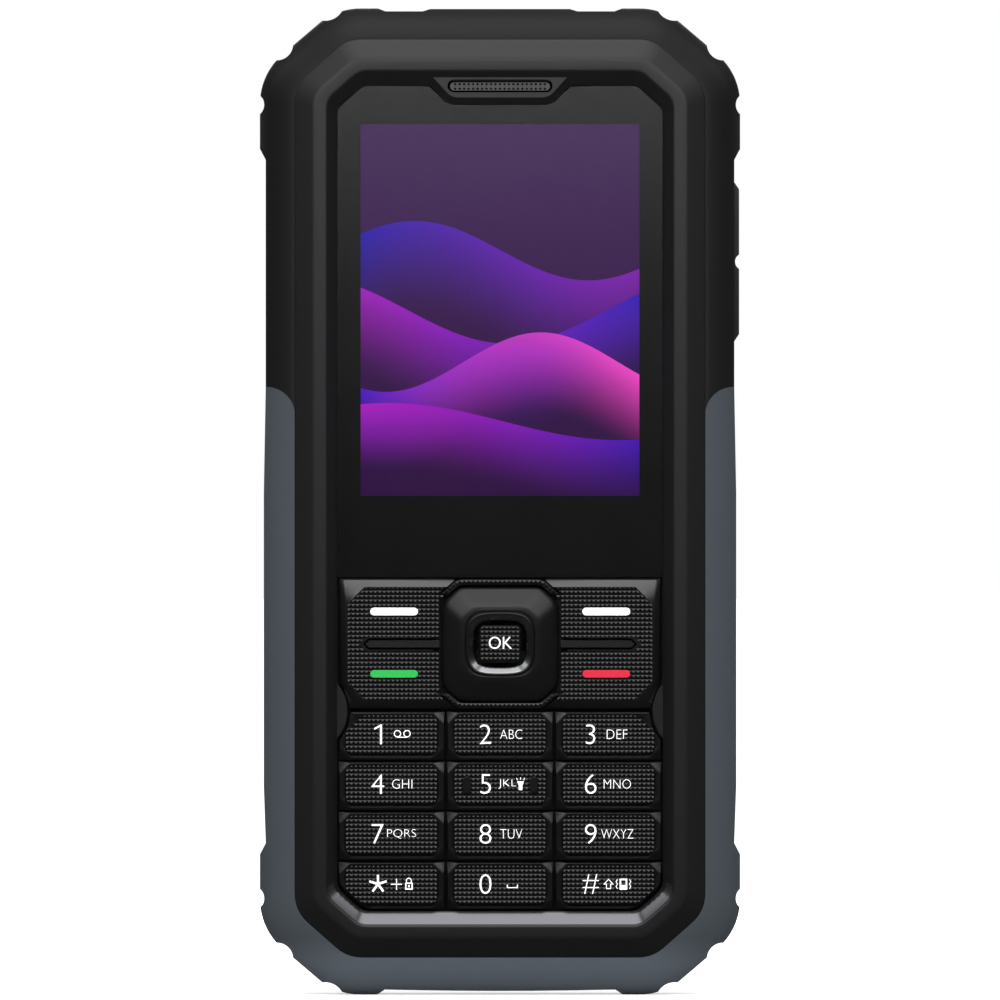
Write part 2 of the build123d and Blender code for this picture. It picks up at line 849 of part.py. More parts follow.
with BuildPart() as housing_screws:
    with BuildSketch(at_depth(screw_seat_depth - screw_head)):
        with Locations(*case_screws):
            Circle(screw_head_radius)
            RegularPolygon(screw_head_radius * 0.5, 6, mode=Mode.SUBTRACT)
    extrude(amount=screw_head * 0.6)
    with BuildSketch(at_depth(screw_seat_depth - screw_head * 0.4)):
        with Locations(*case_screws):
            Circle(screw_head_radius)
    extrude(amount=screw_head * 0.4)
    with BuildSketch(at_depth(screw_seat_depth)):
        with Locations(*case_screws):
            Circle(screw_radius)
    extrude(amount=board_front + screw_bite - screw_seat_depth)
save(housing_screws, "housing_screws")

# Screen window with a notch round the earpiece tongue
with BuildPart() as lens_window:
    with BuildSketch(at_depth(lens_back)):
        RimOutline(well_side + fit_gap, well_end + fit_gap)
        with Locations((0, keypad_top + slide_gap)):
            Rectangle(width, height, align=(Align.CENTER, Align.MIN), mode=Mode.INTERSECT)
        reach = tongue_bevel + slide_gap
        Trapezoid4(tongue_half_foot + reach, tongue_foot - reach, tongue_half_top + reach, tongue_top,
                   mode=Mode.SUBTRACT)
    extrude(amount=lens_thickness)
save(lens_window, "lens_window")

with BuildPart() as lens_adhesive:
    with BuildSketch(at_depth(ledge_front)):
        RimOutline(well_side + adhesive_width / 2, well_end + adhesive_width / 2)
        with Locations((0, keypad_top + adhesive_width)):
            Rectangle(width, height, align=(Align.CENTER, Align.MIN), mode=Mode.INTERSECT)
        with Locations((0, screen_mid)):
            Rectangle(screen_width + 2 * window_margin, screen_height + 2 * window_margin,
                      mode=Mode.SUBTRACT)
        reach = tongue_bevel + adhesive_width / 2
        Trapezoid4(tongue_half_foot + reach, tongue_foot - reach, tongue_half_top + reach, tongue_top,
                   mode=Mode.SUBTRACT)
    extrude(amount=adhesive_thickness)
save(lens_adhesive, "lens_adhesive")

with BuildPart() as display_gasket:
    with BuildSketch(at_depth(display_front)):
        with Locations((0, screen_mid)):
            Rectangle(screen_width + 2 * window_margin + 2 * adhesive_width,
                      screen_height + 2 * window_margin + 2 * adhesive_width)
            Rectangle(screen_width + 2 * window_margin, screen_height + 2 * window_margin,
                      mode=Mode.SUBTRACT)
    extrude(amount=gasket_thickness)
save(display_gasket, "display_gasket")

with BuildPart() as display_module:
    with BuildSketch(at_depth(display_back)):
        with Locations((0, (panel_low + panel_high) / 2)):
            RectangleRounded(2 * panel_half, panel_high - panel_low, 0.6)
    extrude(amount=display_thickness)
    with BuildSketch(at_depth(board_front)):
        with Locations((0, (panel_low + panel_high) / 2)):
            Rectangle(2 * panel_half - 6, panel_high - panel_low - 6)
    extrude(amount=board_gap)
save(display_module, "display_module")

# Perforated strip in the earpiece slot and the receiver behind it
with BuildPart() as earpiece_mesh:
    with BuildSketch(at_depth(lens_front)):
        with Locations((0, slot_z)):
            SlotOverall(slot_length - 2 * fit_gap, slot_width - 2 * fit_gap)
        columns = int((slot_length - slot_width) / mesh_pitch)
        with Locations((-mesh_pitch / 4, slot_z + mesh_pitch / 2), (mesh_pitch / 4, slot_z - mesh_pitch / 2)):
            with GridLocations(mesh_pitch, 0, columns, 1):
                RegularPolygon(mesh_hole, 6, mode=Mode.SUBTRACT)
    extrude(amount=mesh_thickness)
save(earpiece_mesh, "earpiece_mesh")

with BuildPart() as earpiece_receiver:
    with BuildSketch(at_depth(board_front)):
        with Locations((0, panel_high + fit_gap + receiver_width / 2)):
            RectangleRounded(receiver_length, receiver_width, 1.2)
    extrude(amount=receiver_thickness)
    chamfer(earpiece_receiver.faces().sort_by(Axis.Y)[0].edges(), 0.3)
save(earpiece_receiver, "earpiece_receiver")

# Digit keys: a bevelled cap that fills its cell, a raised pad and a stem through the mat
digit_names = (("key_star", "key_0", "key_hash"), ("key_7", "key_8", "key_9"),
               ("key_4", "key_5", "key_6"), ("key_1", "key_2", "key_3"))
key_centres = {
    name: ((column - 1) * column_pitch, well_low + (row + 0.5) * row_pitch)
    for row, names in enumerate(digit_names)
    for column, name in enumerate(names)
}
corner_cuts = {"key_1": (-1, 1), "key_3": (1, 1), "key_star": (-1, -1), "key_hash": (1, -1)}
for name, (key_x, key_z) in key_centres.items():
    with BuildPart() as key:
        with BuildSketch(at_depth(cap_bottom)):
            with Locations((key_x, key_z)):
                Rectangle(column_pitch - key_gap, row_pitch - key_gap)
            RimOutline(well_side + slide_gap, well_end + slide_gap, mode=Mode.INTERSECT)
            with Locations(*lug_centres):
                Circle(lug_radius + key_gap, mode=Mode.SUBTRACT)
        extrude(amount=cap_height)
        chamfer(key.faces().sort_by(Axis.Y)[0].edges(), key_bevel)
        with BuildSketch(at_depth(cap_shoulder)) as pad:
            with Locations((key_x, key_z + (pad_low_margin - pad_high_margin) / 2)):
                PadOutline(column_pitch - 2 * pad_side_margin, row_pitch - pad_low_margin - pad_high_margin,
                           corner_cuts.get(name))
        extrude(amount=pad_height, taper=pad_taper)
        with BuildSketch(at_depth(cap_bottom)):
            with Locations((key_x, key_z)):
                Rectangle(stem_length, stem_width)
        extrude(amount=stem_tip - cap_bottom)
    save(key, name)

# Function plates: each is pressed at its upper or its lower end, about the bar between them
function_x = (well_half + nav_half_x) / 2
plate_outer = well_half - tilt_gap
plate_half = function_height / 2 - tilt_gap
band_edge = band_gap + band_width + tilt_gap
for name, side in (("left_function_key", -1), ("right_function_key", 1)):
    with BuildPart() as plate:
        with BuildSketch(at_depth(cap_bottom)):
            with Locations((side * (plate_outer + plate_inner) / 2, nav_z)):
                Rectangle(plate_outer - plate_inner, 2 * plate_half)
            with Locations(*lug_centres):
                Circle(lug_radius + tilt_gap, mode=Mode.SUBTRACT)
            NavOutline(band_edge, mode=Mode.SUBTRACT)
        extrude(amount=cap_height)
        # Bevels along the top, the foot and the outer side
        with BuildSketch(at_side(0)):
            for end in (-1, 1):
                with BuildLine():
                    Polyline(
                        (-cap_shoulder - 1, nav_z + end * (plate_half - key_bevel - 1)),
                        (-cap_shoulder + key_bevel + 1, nav_z + end * (plate_half + 1)),
                        (-cap_shoulder - 1, nav_z + end * (plate_half + 1)), close=True,
                    )
                make_face()
        extrude(amount=side * half_width, mode=Mode.SUBTRACT)
        with BuildSketch(Plane.XY.offset(function_low)):
            with BuildLine():
                Polyline(
                    (side * (plate_outer - key_bevel - 1), -cap_shoulder - 1),
                    (side * (plate_outer + 1), -cap_shoulder + key_bevel + 1),
                    (side * (plate_outer + 1), -cap_shoulder - 1), close=True,
                )
            make_face()
        extrude(amount=function_height, mode=Mode.SUBTRACT)
        # Raised pad with cut outer corners
        with BuildSketch(at_depth(cap_shoulder)) as pad:
            pad_outer = plate_outer - pad_side_margin
            with Locations((side * (pad_outer + nav_half_x) / 2, nav_z)):
                Rectangle(pad_outer - nav_half_x, 2 * (plate_half - pad_side_margin))
            chamfer(pad.vertices().group_by(Axis.X)[0 if side < 0 else -1], plate_corner)
            NavOutline(band_edge + fit_gap, mode=Mode.SUBTRACT)
        extrude(amount=pad_height)
        with BuildSketch(at_depth(cap_bottom)):
            BarOutline(side, tilt_gap)
        extrude(amount=cap_height + pad_height, mode=Mode.SUBTRACT)
        with BuildSketch(at_depth(cap_bottom)):
            with Locations(
                (side * function_x, nav_z - function_stem_reach), (side * function_x, nav_z + function_stem_reach)
            ):
                Rectangle(function_stem_length, stem_width)
        extrude(amount=stem_tip - cap_bottom)
    save(plate, name)

# Fixed bars between the plates' ends and the bands above and below the four-way key
with BuildPart() as key_dividers:
    with BuildSketch(at_depth(web_front)):
        BarOutline(-1)
        BarOutline(1)
    extrude(amount=cap_shoulder - web_front)
    with BuildSketch(at_depth(web_front)):
        NavOutline(band_gap + band_width)
        NavOutline(band_gap, mode=Mode.SUBTRACT)
        with Locations((0, nav_z)):
            Rectangle(width, 2 * nav_half_z - nav_cut_z, mode=Mode.SUBTRACT)
    extrude(amount=pad_top - pad_height / 2 - web_front)
save(key_dividers, "key_dividers")

# Four-way key: a low eight-sided crown with a dished hole for the centre key
with BuildPart() as nav_ring:
    with BuildSketch(at_depth(cap_bottom)):
        NavOutline()
    extrude(amount=nav_edge)
    crown_depth = cap_bottom + nav_edge + nav_rise
    with BuildSketch(at_depth(cap_bottom + nav_edge)):
        NavOutline()
    with BuildSketch(at_depth(crown_depth)):
        CutRectangle(nav_crown_x, nav_z - nav_crown_z, nav_z + nav_crown_z, nav_cut_x * 0.6,
                     nav_cut_z * 0.6, nav_radius)
    loft(ruled=True)
    with BuildSketch(at_depth(crown_depth)):
        with Locations((0, nav_z)):
            RectangleRounded(2 * ok_well_x, 2 * ok_well_z, ok_well_z * 0.45)
    with BuildSketch(at_depth(crown_depth - ok_well_depth)):
        with Locations((0, nav_z)):
            RectangleRounded(2 * ok_hole_x, 2 * ok_hole_z, ok_hole_z * 0.36)
    loft(ruled=True, mode=Mode.SUBTRACT)
    with BuildSketch(at_depth(cap_bottom)):
        with Locations((0, nav_z)):
            RectangleRounded(2 * ok_hole_x, 2 * ok_hole_z, ok_hole_z * 0.36)
    extrude(amount=nav_edge + nav_rise, mode=Mode.SUBTRACT)
save(nav_ring, "nav_ring")

# Silicone pad under the four-way key: a ridge that the key rocks on and a nub over each dome
nub_places = ((nub_x, 0), (-nub_x, 0), (0, nub_z), (0, -nub_z))
pad_face = cap_bottom - ridge_height - fit_gap
with BuildPart() as nav_actuator:
    with BuildSketch(at_depth(pad_face - pad_plate)):
        with Locations((0, nav_z)):
            RectangleRounded(2 * pad_plate_x, 2 * pad_plate_z, pad_plate_margin)
            RectangleRounded(2 * ok_hole_x, 2 * ok_hole_z, nub_radius, mode=Mode.SUBTRACT)
    extrude(amount=pad_plate)
    with BuildSketch(at_depth(pad_face)):
        with Locations((0, nav_z + nub_z), (0, nav_z - nub_z)):
            Rectangle(ridge_width, 2 * nub_radius)
    extrude(amount=ridge_height)
    with BuildSketch(at_depth(pad_face - pad_plate)):
        with Locations((0, nav_z)):
            with Locations(*nub_places):
                Circle(nub_radius)
    extrude(amount=stem_tip - pad_face + pad_plate)
save(nav_actuator, "nav_actuator")

with BuildPart() as ok_key:
    with BuildSketch(at_depth(cap_bottom)):
        with Locations((0, nav_z)):
            RectangleRounded(2 * ok_half_x, 2 * ok_half_z, ok_radius)
    extrude(amount=crown_depth - ok_drop - cap_bottom)
    chamfer(ok_key.faces().sort_by(Axis.Y)[0].edges(), 0.25)
    with BuildSketch(at_depth(cap_bottom)):
        with Locations((0, nav_z)):
            Circle(ok_half_z * 0.8)
    extrude(amount=stem_tip - cap_bottom)
save(ok_key, "ok_key")

# Silicone web that seals the keypad: a rim down to the board and a hole for each stem
with BuildPart() as keypad_mat:
    with BuildSketch(at_depth(board_front)):
        MatOutline()
    extrude(amount=ledge_back - board_front)
    for level, depth in ((board_front, web_back - board_front), (web_front, ledge_back - web_front)):
        with BuildSketch(at_depth(level)):
            MatOutline(mat_rim)
        extrude(amount=depth, mode=Mode.SUBTRACT)
    with BuildSketch(at_depth(web_back)):
        with Locations(*key_centres.values()):
            Rectangle(stem_length + 2 * slide_gap, stem_width + 2 * slide_gap)
        for side in (-1, 1):
            with Locations(
                (side * function_x, nav_z - function_stem_reach), (side * function_x, nav_z + function_stem_reach)
            ):
                Rectangle(function_stem_length + 2 * tilt_gap, stem_width + 2 * tilt_gap)
        with Locations((0, nav_z)):
            RectangleRounded(2 * (pad_plate_x + tilt_gap), 2 * (pad_plate_z + tilt_gap), pad_plate_margin)
    extrude(amount=web_thickness, mode=Mode.SUBTRACT)
save(keypad_mat, "keypad_mat")

# Snap domes on the board, one under each press point
dome_places = list(key_centres.values()) + [(0, nav_z)]
dome_places += [(x, nav_z + z) for x, z in nub_places]
dome_places += [(side * function_x, nav_z + z) for side in (-1, 1)
                for z in (-function_stem_reach, function_stem_reach)]
with BuildPart() as key_domes:
    with BuildSketch(at_depth(board_front)):
        with Locations(*dome_places):
            RegularPolygon(dome_radius, 8)
    extrude(amount=dome_height, taper=70)
save(key_domes, "key_domes")

# Main board and what stands on its back
with BuildPart() as main_board:
    with BuildSketch(at_depth(board_back)):
        RimOutline(board_margin)
        with Locations(*mid_screws):
            Circle(boss_radius + slide_gap, mode=Mode.SUBTRACT)
    extrude(amount=board_thickness)
save(main_board, "main_board")

with BuildPart() as shield_cans:
    with BuildSketch(at_depth(board_back)):
        with Locations((can_x, can_high), (can_x, can_low), (-can_x, can_high)):
            Rectangle(can_width, can_height)
    extrude(amount=-part_room + slide_gap)
save(shield_cans, "shield_cans")

with BuildPart() as sim_socket:
    with BuildSketch(at_depth(board_back)):
        with Locations((-can_x, can_low)):
            Rectangle(can_width, sim_width)
    extrude(amount=-sim_height)
    with BuildSketch(at_depth(board_back - sim_height + sim_wall)):
        with Locations((-can_x, can_low - sim_wall)):
            Rectangle(can_width - 2 * sim_wall, sim_width)
    extrude(amount=sim_height - 2 * sim_wall, mode=Mode.SUBTRACT)
save(sim_socket, "sim_socket")

with BuildPart() as battery_contacts:
    with BuildSketch(at_depth(board_back)):
        with Locations((0, battery_low + contact_rise)):
            with GridLocations(contact_pitch, 0, 3, 1):
                Rectangle(1.6, 4.0)
    extrude(amount=-part_room + slide_gap)
save(battery_contacts, "battery_contacts")

with BuildPart() as vibration_motor:
    with BuildSketch(at_depth(board_back)):
        with Locations((0, motor_z)):
            Circle(motor_radius)
    extrude(amount=-motor_thickness)
    chamfer(vibration_motor.faces().sort_by(Axis.Y)[-1].edges(), 0.3)
save(vibration_motor, "vibration_motor")

board_low = core_low + board_margin
with BuildPart() as microphone:
    with BuildSketch(at_depth(board_back)):
        with Locations((mic_x, board_low + ledge_margin + mic_size / 2 + slide_gap)):
            Rectangle(mic_size + 0.6, mic_size)
    extrude(amount=-mic_height)
save(microphone, "microphone")

with BuildPart() as main_antenna:
    with BuildSketch(at_depth(board_front)):
        with Locations((0, core_low + frame_wall + antenna_width / 2 + fit_gap)):
            Rectangle(2 * antenna_half, antenna_width)
    extrude(amount=antenna_height)
save(main_antenna, "main_antenna")

# Loudspeaker against the back wall, its dust mesh, and the camera with its window
with BuildPart() as speaker_mesh:
    with BuildSketch(at_depth(room_back)):
        with Locations((speaker_x, speaker_z)):
            RectangleRounded(speaker_length, speaker_width, 1.0)
    extrude(amount=mesh_thickness)
save(speaker_mesh, "speaker_mesh")

with BuildPart() as loudspeaker:
    with BuildSketch(at_depth(room_back + mesh_thickness)):
        with Locations((speaker_x, speaker_z)):
            RectangleRounded(speaker_length, speaker_width, 1.0)
    extrude(amount=speaker_thickness)
    chamfer(loudspeaker.faces().sort_by(Axis.Y)[0].edges(), 0.5)
save(loudspeaker, "loudspeaker")

with BuildPart() as rear_camera:
    with BuildSketch(at_depth(room_back)):
        with Locations((0, camera_z)):
            Rectangle(camera_size, camera_size)
    extrude(amount=camera_length)
    with BuildSketch(at_depth(room_back)):
        with Locations((0, camera_z)):
            Circle(camera_barrel_radius)
    extrude(amount=-(back_wall - camera_window) + fit_gap)
save(rear_camera, "rear_camera")

with BuildPart() as camera_window_disc:
    with BuildSketch(at_depth(shell_back)):
        with Locations((0, camera_z)):
            Circle(camera_window_radius)
    extrude(amount=camera_window)
save(camera_window_disc, "camera_window")

# Torch in the top edge
with BuildPart() as torch_led:
    with BuildSketch(Plane.XY.offset(core_high)):
        with Locations((0, -torch_depth)):
            Rectangle(led_size, led_size)
    extrude(amount=led_height)
save(torch_led, "torch_led")

with BuildPart() as torch_lens:
    with BuildSketch(Plane.XY.offset(height - plateau_drop)):
        with Locations((0, -torch_depth)):
            RectangleRounded(torch_length, torch_width, 1.0)
    extrude(amount=-torch_thickness)
save(torch_lens, "torch_lens")

# Ports: their noses pass through the housing and the guard to the floor of the covers' seat
with BuildPart() as usb_receptacle:
    with BuildSketch(at_side(-port_floor)):
        with Locations((-usb_depth, usb_z)):
            SlotOverall(usb_width, usb_height, rotation=90)
    extrude(amount=usb_length)
    with BuildSketch(at_side(-port_floor)):
        with Locations((-usb_depth, usb_z)):
            SlotOverall(usb_width - 2 * usb_wall, usb_height - 2 * usb_wall, rotation=90)
    extrude(amount=usb_length - 3 * usb_wall, mode=Mode.SUBTRACT)
    with BuildSketch(at_side(-port_floor + usb_tongue_set_back)):
        with Locations((-usb_depth, usb_z)):
            Rectangle(usb_tongue, usb_width - usb_height)
    extrude(amount=usb_length - usb_tongue_set_back - usb_wall)
save(usb_receptacle, "usb_receptacle")

with BuildPart() as headset_jack:
    with BuildSketch(at_side(-port_floor)):
        with Locations((-jack_depth, jack_z)):
            Circle(jack_radius)
    extrude(amount=port_floor - top_room_half + slide_gap)
    with BuildSketch(at_side(-top_room_half + slide_gap)):
        with Locations((-jack_depth, jack_z)):
            Rectangle(jack_body_thickness, jack_body_width)
    extrude(amount=jack_body_length)
    with BuildSketch(at_side(-port_floor)):
        with Locations((-jack_depth, jack_z)):
            Circle(jack_bore)
    extrude(amount=jack_bore_length, mode=Mode.SUBTRACT)
    with BuildSketch(at_side(-port_floor)):
        with Locations((-jack_depth, jack_z)):
            Circle(jack_lead_radius)
    extrude(amount=jack_lead_depth, mode=Mode.SUBTRACT)
save(headset_jack, "headset_jack")

# Port covers: a flush plate that swings on its rounded outer end, with a plug behind it
pivot_x = -side_half + flap_thickness / 2
for name, side in (("usb_cover", -1), ("jack_cover", 1)):
    with BuildPart() as flap:
        outer_z = port_height + side * cover_length
        pivot_z = outer_z - side * flap_thickness / 2
        inner_z = port_height + side * slide_gap / 2
        with BuildSketch(at_depth(flap_depth - flap_width / 2)):
            with Locations((pivot_x, (pivot_z + inner_z) / 2)):
                Rectangle(flap_thickness, abs(pivot_z - inner_z))
            with Locations((pivot_x, pivot_z)):
                Circle(flap_thickness / 2)
            with Locations((-side_half, port_height)):
                Circle(notch_radius, mode=Mode.SUBTRACT)
        extrude(amount=flap_width)
        with BuildSketch(at_side(pivot_x + flap_thickness / 2)):
            if side < 0:
                with Locations((-usb_depth, usb_z)):
                    SlotOverall(usb_width - 2 * usb_wall - 4 * tilt_gap,
                                usb_height - 2 * usb_wall - 4 * slide_gap, rotation=90)
            else:
                with Locations((-jack_depth, jack_z)):
                    Circle(jack_lead_radius - tilt_gap - slide_gap)
        extrude(amount=plug_reach + flap_seat)
    save(flap, name)

# Volume rocker: a waisted bar with a flange behind the guard and two posts to the switches
rocker_face = side_half + rocker_proud
flange_face = core_half + 2 * tilt_gap + rocker_flange
with BuildPart() as volume_rocker:
    low, high = rocker_height - rocker_length / 2, rocker_height + rocker_length / 2
    with BuildSketch(at_depth(rocker_depth - rocker_width / 2)):
        with BuildLine():
            waist = ThreePointArc(
                (rocker_face, rocker_height - rocker_waist / 2),
                (rocker_face - rocker_waist_depth, rocker_height),
                (rocker_face, rocker_height + rocker_waist / 2),
            )
            Polyline(waist @ 1, (rocker_face, high - 1.0), (side_half, high), (flange_face, high),
                     (flange_face, low), (side_half, low), (rocker_face, low + 1.0), waist @ 0)
        make_face()
    extrude(amount=rocker_width)
    with BuildSketch(at_side(flange_face)):
        with Locations((-rocker_depth, rocker_height)):
            Rectangle(rocker_width + 2 * rocker_flange_lap, rocker_length + 2 * rocker_flange_lap)
    extrude(amount=-rocker_flange)
    with BuildSketch(at_side(flange_face - rocker_flange)):
        with Locations(
            (-rocker_depth, rocker_height - rocker_post_reach),
            (-rocker_depth, rocker_height + rocker_post_reach),
        ):
            Circle(rocker_post_radius)
    extrude(amount=-(flange_face - rocker_flange - top_room_half))
save(volume_rocker, "volume_rocker")

with BuildPart() as side_switches:
    with BuildSketch(at_side(top_room_half - 2 * tilt_gap)):
        with Locations((-rocker_depth, rocker_height)):
            Rectangle(switch_width, 2 * rocker_post_reach + switch_width)
    extrude(amount=-switch_thickness)
save(side_switches, "side_switches")

# Battery, cover, gasket, inserts and coin-slot screws
with BuildPart() as battery:
    with BuildSketch(at_depth(battery_back)):
        with Locations((0, (battery_low + battery_high) / 2)):
            RectangleRounded(2 * battery_half, battery_high - battery_low, 1.5)
    extrude(amount=battery_front - battery_back)
    chamfer(battery.faces().filter_by(Axis.Y).edges(), 0.5)
save(battery, "battery")

cover_screw_places = ((-cover_screw_reach, cover_screw_z), (cover_screw_reach, cover_screw_z))
with BuildPart() as battery_cover:
    with BuildSketch(at_depth(back)):
        BayOutline()
        with Locations(*cover_screw_places):
            Circle(cover_screw_radius + slide_gap, mode=Mode.SUBTRACT)
    extrude(amount=cover_thickness)
    chamfer(battery_cover.faces().sort_by(Axis.Y)[-1].outer_wire().edges(), 0.35)
    with BuildSketch(at_depth(back)):
        with Locations(*cover_screw_places):
            Circle(cover_screw_head_radius + slide_gap)
    extrude(amount=cover_screw_head + slide_gap, mode=Mode.SUBTRACT)
save(battery_cover, "battery_cover")

with BuildPart() as cover_seal:
    with BuildSketch(at_depth(cover_inner)):
        BayOutline(cover_seal_inset + fit_gap)
        BayOutline(cover_seal_inset + cover_seal_width - fit_gap, mode=Mode.SUBTRACT)
    extrude(amount=cover_seal_height)
save(cover_seal, "cover_seal")

with BuildPart() as cover_inserts:
    with BuildSketch(at_depth(cover_inner)):
        with Locations(*cover_screw_places):
            Circle(insert_radius - fit_gap)
            Circle(cover_screw_radius + slide_gap, mode=Mode.SUBTRACT)
    extrude(amount=insert_length)
save(cover_inserts, "cover_inserts")

for name, place in zip(("cover_screw_left", "cover_screw_right"), cover_screw_places):
    with BuildPart() as screw:
        with BuildSketch(at_depth(back + slide_gap)):
            with Locations(place):
                Circle(cover_screw_head_radius)
        extrude(amount=cover_screw_head)
        with BuildSketch(at_depth(back + slide_gap)):
            with Locations(place):
                Rectangle(2 * cover_screw_head_radius, cover_slot_width)
        extrude(amount=cover_slot_depth, mode=Mode.SUBTRACT)
        with BuildSketch(at_depth(back + slide_gap + cover_screw_head)):
            with Locations(place):
                Circle(cover_screw_radius)
        extrude(amount=cover_thickness + insert_length - cover_screw_head - 2 * slide_gap)
    save(screw, name)
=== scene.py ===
# %% [markdown]
# # A rugged keypad phone
# The imported CAD model is the fixed frame: it brings every solid of the phone in metres, standing on
# its foot with the screen looking along -Y. Everything below dresses that frame, so the first step
# loads it and keeps its solids, from which the boxes of the parts are read.

# %% Load the frame
import json
import bmesh
import bpy
import numpy as np
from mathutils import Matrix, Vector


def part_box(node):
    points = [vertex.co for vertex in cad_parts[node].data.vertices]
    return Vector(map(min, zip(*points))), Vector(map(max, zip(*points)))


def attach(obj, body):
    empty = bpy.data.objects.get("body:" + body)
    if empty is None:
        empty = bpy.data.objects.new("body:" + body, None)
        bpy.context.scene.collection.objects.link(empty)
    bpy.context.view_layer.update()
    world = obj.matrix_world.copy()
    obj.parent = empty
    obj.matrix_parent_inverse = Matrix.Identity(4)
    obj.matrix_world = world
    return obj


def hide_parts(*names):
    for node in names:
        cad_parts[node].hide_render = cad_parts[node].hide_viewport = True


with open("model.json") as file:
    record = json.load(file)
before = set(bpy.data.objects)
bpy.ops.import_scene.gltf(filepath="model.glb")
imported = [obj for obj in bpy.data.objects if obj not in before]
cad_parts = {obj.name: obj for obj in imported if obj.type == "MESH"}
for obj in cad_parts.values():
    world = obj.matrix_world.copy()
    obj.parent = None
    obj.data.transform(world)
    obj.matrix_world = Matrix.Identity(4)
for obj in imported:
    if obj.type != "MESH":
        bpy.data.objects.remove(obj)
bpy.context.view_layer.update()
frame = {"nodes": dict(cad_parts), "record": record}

MM = 0.001

# %% [markdown]
# ## Shader nodes
# A material is a small graph, and writing one out repeats three steps: make a node, set its sockets,
# link it on. A few helpers take them over, so that a finish reads like a formula.

# %% Node helpers
def feed(sockets, inputs):
    """Numbers and colours stay on their sockets as constants; the output of another node is linked."""
    for name, value in dict(inputs).items():
        if isinstance(value, bpy.types.NodeSocket):
            value.id_data.links.new(value, sockets[name])
        else:
            sockets[name].default_value = value


def add(tree, kind, inputs=(), **settings):
    """The outputs of a new node, after its settings are made and its inputs fed by name or number."""
    new = tree.nodes.new("ShaderNode" + kind)
    for name, value in settings.items():
        setattr(new, name, value)
    feed(new.inputs, inputs)
    return new.outputs


def calc(operation, *values, clamp=False):
    """One step of arithmetic on outputs and numbers."""
    tree = next(value.id_data for value in values if isinstance(value, bpy.types.NodeSocket))
    return add(tree, "Math", enumerate(values), operation=operation, use_clamp=clamp)[0]


def blend(share, a, b):
    """The colour a where share is 0 and b where it is 1."""
    a, b = ((*colour, 1) if isinstance(colour, tuple) else colour for colour in (a, b))
    return add(share.id_data, "Mix", {"Factor": share, "A": a, "B": b}, data_type="RGBA")["Result"]


def ramp(value, low, high, start=0.0, end=1.0, kind="SMOOTHSTEP"):
    """Low where the value is start, high where it is end."""
    inputs = {"Value": value, "From Min": start, "From Max": end, "To Min": low, "To Max": high}
    return add(value.id_data, "MapRange", inputs, interpolation_type=kind)["Result"]


finishes = {}


def blank(name):
    """Node tree and main shader's sockets of a new material, which is kept in finishes."""
    material = finishes[name] = bpy.data.materials.new(name)
    material.use_nodes = True
    return material.node_tree, material.node_tree.nodes["Principled BSDF"].inputs


print("node helpers ready")

# %% [markdown]
# ## Finishes
# Moulded plastic is never one flat colour: the tool's texture scatters light, and the gloss changes
# from place to place. Painting pictures would do it, but noise on object coordinates needs none and
# keeps its real scale. One noise mixes two close tones, moves the roughness and, by a Bump node, lifts
# the grain by a few thousandths of a millimetre. The grey guard is painted paler towards its foot:
# painted light, as if the foot were lit from below.

# %% Moulded and metal finishes
def moulded(name, tones, rough, grain, lift, specular=0.5, metallic=0.0, more=()):
    """A grained finish: noise of grain mm picks a tone and a roughness, and lifts the surface by lift mm."""
    tree, sockets = blank(name)
    place = add(tree, "TexCoord")["Object"]
    noise = add(tree, "TexNoise", {"Vector": place, "Scale": 1 / (grain * MM), "Detail": 3.0})["Fac"]
    feed(sockets, {
        "Base Color": blend(noise, *tones), "Roughness": ramp(noise, *rough, kind="LINEAR"),
        "Normal": add(tree, "Bump", {"Height": noise, "Distance": lift * MM})["Normal"],
        "Specular IOR Level": specular, "Metallic": metallic})
    feed(sockets, more)


def grey(low, high):
    """Two close tones of grey with a touch of blue."""
    return (low, low, low * 1.04), (high, high, high * 1.05)


